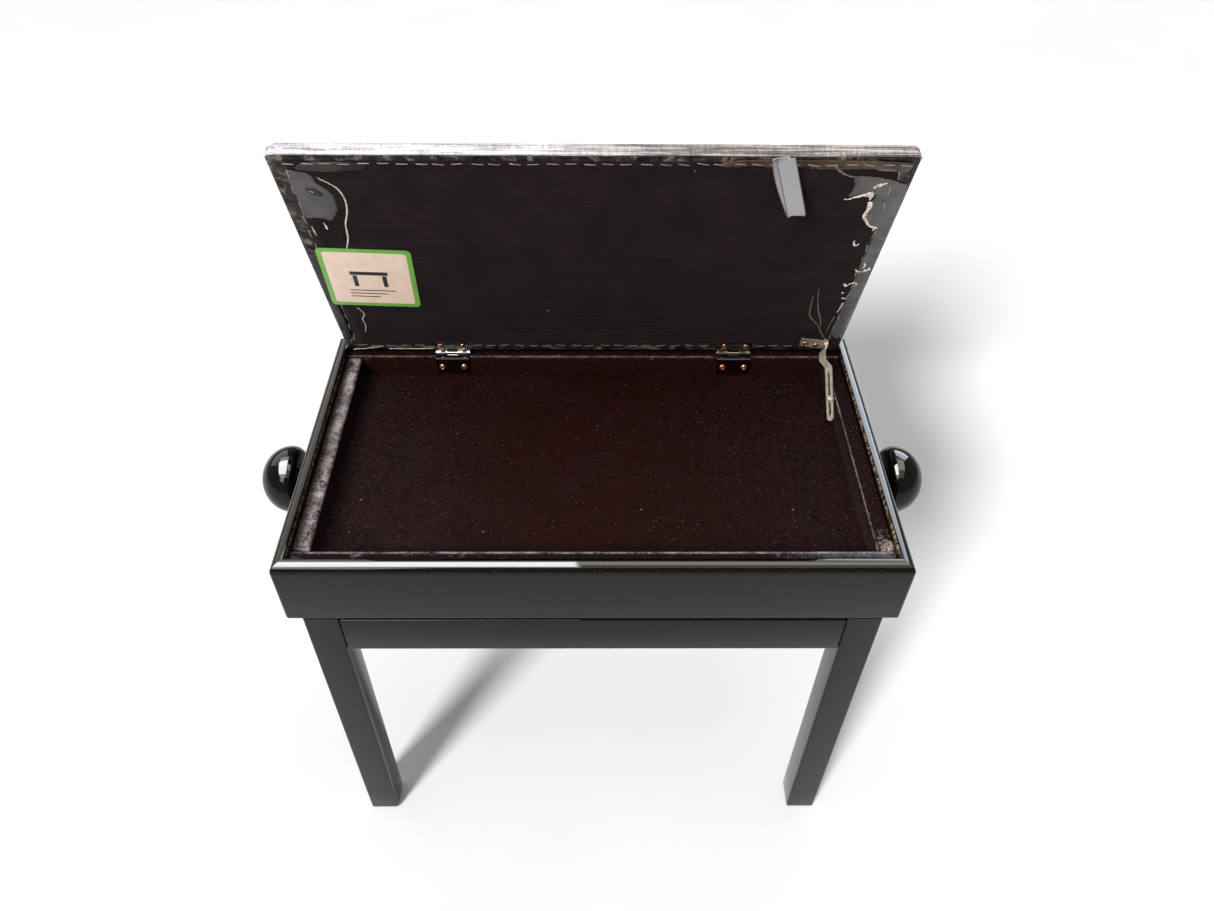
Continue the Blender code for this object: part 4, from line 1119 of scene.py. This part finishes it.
def underside_film():
    """The transport film's remains on the underside: cloudy areas, folds and torn, curled edges, a painted shade
    in one fold and a few painted highlights.
    """
    film_piece("film_left_lobe", (
        (-253, 276.5), (-244, 276), (-236.1, 274), (-232.7, 267.5), (-231.1, 261.8), (-225.8, 256),
        (-221.5, 249), (-219.9, 243), (-220.6, 234), (-223.9, 224), (-230.2, 216), (-237.5, 219),
        (-243.6, 219.5), (-253.2, 221), (-252.5, 240), (-252.8, 250.5), (-253.2, 263.5), (-253.5, 272),
    ), PATCH_FILM)
    film_piece("film_top_left", (
        (-244, 279), (-225, 276), (-205, 276.5), (-188, 278), (-190, 285), (-210, 287), (-236, 286),
    ), DARK_FILM)
    film_piece("film_right_strip", (
        (217.5, 272.5), (219, 261), (217.2, 248), (223, 250), (237, 254), (238.5, 240), (237.2, 223),
        (242.5, 213), (250, 207.5), (251.5, 190), (251.5, 150), (251.5, 100), (250.5, 60), (251.5, 36),
        (263, 34), (264.8, 100), (264.8, 200), (264.5, 256), (256, 265), (242, 270),
    ), SIDE_FILM)
    film_piece("film_left_strip", (
        (-264, 170), (-264.5, 90), (-264, 36), (-256, 30), (-254.5, 60), (-256, 90), (-254.5, 130),
        (-255, 170),
    ), DARK_FILM)
    film_piece("film_brown_right", (
        (102, 284), (120, 281.5), (130, 283), (145, 282), (156, 283.5), (175, 281.5), (200, 280),
        (225, 281), (244, 279), (254, 276), (260, 280), (258, 288), (230, 290), (180, 290.5), (120, 290.5),
    ), BROWN_FILM)
    curls_of_film(
        "film_folds_and_painted_highlights", PALE_FOLD,
        ((-229, 269, 0.3), (-223.5, 264.5, 0.5), (-218.8, 260.3, 0.6), (-215.4, 256, 0.7),
         (-212.8, 248, 0.8), (-212.2, 239.3, 0.8), (-213.5, 230, 0.8), (-215.7, 222, 0.8),
         (-219.3, 211, 0.8), (-220.6, 200.5, 0.8), (-221.8, 191.5, 0.8), (-226.2, 177.5, 0.7)),
        ((-238, 84, 0.5), (-235, 79, 0.6), (-233.5, 72, 0.6), (-237, 64, 0.5), (-236.5, 52, 0.5),
         (-239.5, 40, 0.4)),
        # painted highlight: these two creases along the hinged edge stand for a light line along the film's edge
        ((-260, 6, 0.4), (-242, 9, 0.6), (-226, 12.5, 0.4)),
        ((-220, 8, 0.4), (-200, 7.2, 0.5), (-173, 8.5, 0.5)),
    )
    curls_of_film(
        "film_torn_right_and_painted_glint", TORN,
        ((235.6, 258.5, 0.6), (237.5, 261.2, 1.6), (240.5, 262.6, 1.7), (245.5, 265, 0.4)),
        ((214.1, 244.6, 0.3), (219, 245.5, 0.7), (223.5, 247.8, 1.2), (229.3, 249.7, 1.9),
         (234, 251.2, 2.6), (237.2, 253.2, 1.8)),
        ((236.2, 250, 1.8), (236.2, 247, 1.3), (236.4, 244, 0.9)),
        ((237.4, 241.5, 2.2), (238.4, 236.8, 2.4), (238.1, 232, 1.6), (237, 226, 1.5), (237.1, 222, 1.5),
         (240.5, 217, 1.3), (243.6, 212, 1.2), (248.7, 208.5, 1.2), (251.6, 208, 1), (249.2, 204.5, 0.6)),
        ((237, 190, 0.6), (237.8, 185.5, 0.9), (239.6, 183, 0.9), (242.8, 185.5, 0.4)),
        ((254.5, 157.5, 0.5), (256.2, 154.5, 0.8), (255.6, 151, 0.6)),
        ((256.2, 144, 0.6), (259, 146.5, 1.6), (261.8, 148, 1.4), (261.2, 151, 0.5)),
        ((249, 147.5, 0.8), (251.5, 144.5, 0.7), (254.5, 144, 0.6)),
        ((244, 125, 1.4), (246, 121.5, 1.2), (249, 125, 0.6), (253, 127.5, 0.5), (255.8, 124.5, 0.6),
         (254.5, 121.5, 0.4)),
        ((245.5, 111.5, 0.9), (246.2, 109, 0.8)),
        ((247, 101.5, 0.8), (250, 101, 0.9), (252, 100.5, 0.4)),
        ((250.2, 94, 0.7), (249.4, 86, 0.5), (248.2, 77, 0.4)),
        ((-238.5, 213, 0.5), (-237.5, 209, 0.8), (-237.2, 205, 1)),
        ((-250, 208, 0.5), (-249.7, 202, 0.7), (-249, 196, 0.5)),
        # painted highlight: this pale curl is a glint on the shaded fold
        ((-240, 253.8, 0.4), (-238.5, 252.5, 0.7), (-237, 251.2, 0.3)),
    )
    curls_of_film(
        "film_wedge_folds", DULL_FOLD,
        ((218, 107, 0.3), (219, 88, 0.8), (222.2, 70, 0.7), (233, 55, 0.7), (240, 40, 0.6),
         (246.5, 29, 0.4)),
        ((221.2, 116, 0.3), (224, 98, 0.6), (229, 78, 0.7), (234, 65, 0.6), (237, 51, 0.4)),
        ((247.5, 70, 0.6), (246, 56, 0.6), (245, 40, 0.4)),
        ((196, 286, 0.8), (203, 278, 1.2), (210, 273.5, 1), (217, 272.2, 0.4)),
        ((248, 279.5, 0.6), (238, 279.8, 1), (234, 280, 0.4)),
    )
    # painted shade: a near-black piece where a fold in the film is in shade
    film_piece("film_fold_painted_shade", (
        (-242.5, 256), (-237.5, 257.5), (-232.5, 254), (-229.6, 249), (-232.5, 246.8), (-238, 248.4),
        (-241.5, 251.5),
    ), FOLD_PAINTED_SHADE, 0.0006, 0.0008)


padded_seat()
folded_margin()
ribbed_cloth()
staples()
film_over_edge()
underside_film()


# ---------------------------------------------------------------- label and ribbon
def label():
    """A generic care label: green border, cream field, plain bench pictogram and blank lines."""
    centre_x, centre_up = -0.2148, 0.1322
    turn = radians(-3.0)
    green = printed("label_green", tone(104, 160, 70), tone(118, 172, 84))
    cream = printed("label_cream", tone(232, 208, 188), tone(220, 194, 172))
    ink = printed("label_ink", tone(48, 44, 46), tone(60, 56, 56))
    out = CLOTH_OUT + RIB_HEIGHT + 0.0006

    def place(x, up, level):
        across = centre_x + x * cos(turn) - up * sin(turn)
        along = centre_up + x * sin(turn) + up * cos(turn)
        return on_lid(across, along, out + level)

    def layer(name, outline, levels, look):
        rings = [[place(x, up, level) for x, up in outline] for level in levels]
        belongs(skinned(name, rings, look, sharp=50.0), "lid", "leatherette")

    def mark(name, low_x, high_x, low_up, high_up):
        corners = [(low_x, low_up), (high_x, low_up), (high_x, high_up), (low_x, high_up)]
        layer(name, corners, (0.00030, 0.00048), ink)

    layer("label_border", rounded(0.0437, 0.0445, 0.005, 5), (0.0, 0.00015), green)
    layer("label_field", rounded(0.0388, 0.0392, 0.003, 5), (0.00018, 0.00032), cream)
    mark("label_bench_seat", -0.018, 0.018, 0.006, 0.011)
    mark("label_bench_leg_left", -0.016, -0.012, -0.012, 0.005)
    mark("label_bench_leg_right", 0.012, 0.016, -0.012, 0.005)
    for number in range(3):
        up = -0.019 - number * 0.005
        mark(f"label_line_{number}", -0.022, 0.022 - number * 0.008, up, up + 0.0012)


def ribbon():
    """A satin pull loop: a flat run down in front, a tight turn, and a bowed run back up behind it."""
    top = on_lid(0.1550, lid_high - 0.0008, 0.0024)
    down = Vector((0.0, 0.0, -1.0))
    front, back = [], []
    for i in range(21):
        t = i / 20
        slant = 0.0162 * t
        bow = 0.0046 * (1.0 - t) ** 0.5 * (0.75 + 0.5 * sin(pi * t))
        front.append(top + Vector((slant, -0.0010, 0.0)) + down * RIBBON_HANG * t)
        back.append(top + Vector((slant - bow, 0.0042 * sin(pi * t) + 0.0012, 0.0)) + down * RIBBON_HANG * t)
    turn = []
    for i in range(1, 8):
        angle = pi * i / 8
        middle = (front[-1] + back[-1]) / 2
        half = (front[-1] - back[-1]) / 2
        turn.append(middle + half * cos(angle) + down * 0.0014 * sin(angle))
    lead = [on_lid(0.1540, lid_high - 0.0130, 0.0013), on_lid(0.1540, lid_high - 0.0060, 0.0017)]
    path = smooth_line(lead + front + turn + back[::-1], 2)
    shares = (0.0, 0.055, 0.2, 0.4, 0.6, 0.8, 0.945, 1.0)
    rows = []
    for i, point in enumerate(path):
        along = direction_at(path, i)
        side = Vector((1.0, 0.0, 0.0)) - along * along.x
        side.normalize()
        rows.append([point + side * RIBBON_WIDTH * (share - 0.5) for share in shares])
    made = surface("satin_pull_ribbon", rows, SATIN, 80.0)
    # painted shade: the two outer strips take the darker satin
    made.data.materials.append(RIBBON_EDGE_SHADE)
    strips = len(shares) - 1
    for face in made.data.polygons:
        face.material_index = 1 if face.index % strips in (0, strips - 1) else 0
    thicken(made, FABRIC)
    belongs(made, "lid", "satin_ribbon", "ribbon_tab")


label()
ribbon()


# ---------------------------------------------------------------- metalwork
def screw_mesh():
    """A pan head with a cross recess, standing on the origin along +Z."""
    shape = bmesh.new()
    profile = [(0.0, SCREW_HEIGHT)]
    profile += arc((0.0, 0.0004), (SCREW_RADIUS, SCREW_HEIGHT - 0.0004), pi / 2, 0.0, 10)[1:]
    profile += [(SCREW_RADIUS, 0.0002), (SCREW_RADIUS - 0.0002, 0.0), (0.0, 0.0)]
    turned_into(shape, profile, 32, lambda along, a, b: (a, b, along))
    head = from_bmesh("screw_head", shape, COPPERED, 40.0)
    mouth = (SCREW_HEIGHT + 0.0005, 0.0021, 0.00042)
    bottom = (SCREW_HEIGHT - 0.0010, 0.0009, 0.00030)
    for turn in (0.0, pi / 2):
        c, s = cos(turn), sin(turn)
        rings = []
        for up, reach, half in (mouth, bottom):
            corners = [(-reach, -half), (reach, -half), (reach, half), (-reach, half)]
            rings.append([(x * c - y * s, x * s + y * c, up) for x, y in corners])
        carve(head, skinned("cross", rings, COPPERED))
    mesh = head.data
    bpy.data.objects.remove(head, do_unlink=True)
    return mesh


SCREW = screw_mesh()
spins = random.Random(3)


def screw(name, seat, facing, body, node=None):
    """One screw head seated at a point, looking along facing."""
    made = bpy.data.objects.new(name, SCREW.copy())
    bpy.context.scene.collection.objects.link(made)
    spin = Matrix.Rotation(spins.uniform(0.0, pi / 2), 4, "Z")
    aim = facing.to_track_quat("Z", "Y").to_matrix().to_4x4()
    made.data.transform(Matrix.Translation(seat) @ aim @ spin)
    belongs(made, body, "coppered_steel", *([node] if node else []))


to_front = Vector((0.0, -1.0, 0.0))
for side in ("left", "right"):
    for end in ("a", "b"):
        for height, body, facing in (("lower", "case", to_front), ("upper", "lid", lid_out)):
            node = f"hinge_{height}_screw_{side}_{end}"
            middle = middle_of(node)
            seat = middle + facing * span(node, facing, middle)[0]
            screw("recessed_" + node, seat, facing, body, node)
for number, (x, up) in enumerate(((0.2280, 0.0188), (0.2396, 0.0160))):
    screw(f"stay_bracket_screw_{number}", on_lid(x, up, 0.0016), lid_out, "lid")


def threaded_rod():
    """The adjusting rod with its rolled thread."""
    low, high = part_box("threaded_rod")
    axle = middle_of("threaded_rod")
    crest = (high.z - low.z) / 2
    root = crest - THREAD_DEPTH
    around = 20
    start, end = low.x + 0.002, high.x - 0.0008
    pitches = int((high.x - low.x - 0.004) / THREAD_PITCH)

    def ring(radius, place):
        points = []
        for k in range(around):
            angle = 2 * pi * k / around
            points.append((place(k / around), axle.y + radius * cos(angle), axle.z + radius * sin(angle)))
        return points

    rings = [ring(root, lambda turn: low.x)]
    for number in range(pitches):
        for share, radius in ((0.0, root), (0.25, root), (0.5, crest), (0.75, crest)):
            along = number + share
            rings.append(ring(radius, lambda turn: min(start + (along + turn) * THREAD_PITCH, end)))
    rings.append(ring(root, lambda turn: high.x))
    made = skinned("rolled_threaded_rod", rings, ZINC, sharp=50.0)
    belongs(made, "adjuster", "zinc_steel", "threaded_rod")


threaded_rod()

FINISHES = {
    "black_lacquer": LACQUER,
    "raw_wood": WOOD,
    "zinc_steel": ZINC,
    "dark_velvet": FLOOR_VELVET,
    "nylon": NYLON,
    "nickel": NICKEL,
    "coppered_steel": COPPERED,
    "leatherette": LEATHERETTE,
    "wrapped_board": LEATHERETTE,
    "dust_cloth": CLOTH,
    "satin_ribbon": SATIN,
}
for part in frame["record"]["subparts"]:
    node = frame["nodes"][part["node"]]
    node.data.materials.clear()
    node.data.materials.append(FINISHES[part["material_slot"]])
for name in ("stay_arm", "stay_bracket", "stay_slider", "stay_stud"):
    frame["nodes"][name].data.materials[0] = AGED_NICKEL


# ---------------------------------------------------------------- stage, lights and camera
def stage():
    look = Look("pale_floor", tone(250, 250, 250), 0.9, specular_ior_level=0.0)
    greys = (0.3, tone(248, 248, 248)), (0.7, tone(252, 252, 252))
    look.set(base_color=look.ramp(look.noise(3.0, 3.0), *greys))
    shape = bmesh.new()
    bmesh.ops.create_grid(shape, x_segments=4, y_segments=4, size=15.0)
    floor = from_bmesh("pale_floor", shape, look.material)


def panel(name, place, target, size, radiance, colour=(1.0, 1.0, 1.0), lights=True, shows=True):
    """A rectangular softbox. lights: it lights matte surfaces. shows: it is seen in gloss."""
    light = bpy.data.lights.new(name, "AREA")
    light.shape = "RECTANGLE"
    light.size, light.size_y = size
    light.energy = radiance * pi * size[0] * size[1]
    light.color = colour
    made = bpy.data.objects.new(name, light)
    made.location = place
    made.rotation_euler = (Vector(target) - Vector(place)).to_track_quat("-Z", "Y").to_euler()
    made.visible_diffuse = lights
    made.visible_glossy = shows
    bpy.context.scene.collection.objects.link(made)


def sun(name, towards, strength, width):
    """A soft, even light from far away; its own disc isn't seen in gloss."""
    light = bpy.data.lights.new(name, "SUN")
    light.energy = strength
    light.angle = radians(width)
    made = bpy.data.objects.new(name, light)
    made.rotation_euler = Vector(towards).to_track_quat("Z", "Y").to_euler()
    made.visible_glossy = False
    bpy.context.scene.collection.objects.link(made)


def surroundings():
    """An even pale world, weaker than the lights."""
    world = bpy.data.worlds.new("studio")
    world.use_nodes = True
    back = world.node_tree.nodes["Background"]
    back.inputs["Color"].default_value = (1.0, 1.0, 1.0, 1.0)
    back.inputs["Strength"].default_value = 0.32
    bpy.context.scene.world = world


def camera():
    """Above and in front, looking down into the tray; a slight roll and a small shift."""
    place = Vector((-0.00135, -0.67161, 1.08361))
    forward = Vector((0.0077347, 0.696575, -0.717442)).normalized()
    roll = radians(0.487)
    right = forward.cross(Vector((0.0, 0.0, 1.0))).normalized()
    up = right.cross(forward)
    right, up = right * cos(roll) + up * sin(roll), up * cos(roll) - right * sin(roll)
    data = bpy.data.cameras.new("camera")
    data.sensor_width = 36.0
    data.lens = 27.776
    data.shift_x = 0.0064
    data.shift_y = 0.0232
    made = bpy.data.objects.new("camera", data)
    made.matrix_world = Matrix.Translation(place) @ Matrix((right, up, -forward)).transposed().to_4x4()
    bpy.context.scene.collection.objects.link(made)
    bpy.context.scene.camera = made


WARM = (1.0, 0.90, 0.80)

stage()
surroundings()
sun("key", (-0.45, -0.70, 0.58), 3.7, 13.0)
panel("key_reflection", (-0.95, -1.35, 1.75), (0.1, 0.1, 0.35), (0.7, 0.7), 8.0, lights=False)
panel("fill_overhead", (0.0, 0.2, 2.6), (0.0, 0.1, 0.0), (2.4, 2.4), 0.7, shows=False)
panel("ceiling_left_halo", (-0.85, -0.1, 2.2), (-0.85, -0.1, 0.0), (1.6, 2.8), 9.0, lights=False)
panel("ceiling_left", (-0.85, -0.15, 2.15), (-0.85, -0.15, 0.0), (1.6, 1.6), 36.0, lights=False)
panel("ceiling_right_halo", (0.65, -0.1, 2.2), (0.65, -0.1, 0.0), (1.4, 2.8), 2.5, WARM, lights=False)
panel("ceiling_right", (0.65, 0.2, 2.15), (0.65, 0.2, 0.0), (1.4, 1.2), 7.0, WARM, lights=False)
panel("window_right", (1.15, 1.75, 1.75), (0.25, 0.0, 0.43), (1.7, 1.4), 13.0, (0.82, 0.9, 1.0), lights=False)
panel("window_left", (-1.6, 1.30, 1.65), (-0.28, 0.0, 0.43), (2.0, 1.5), 2.6, (1.0, 0.94, 0.86), lights=False)
camera()
bpy.context.scene.view_settings.view_transform = "Standard"
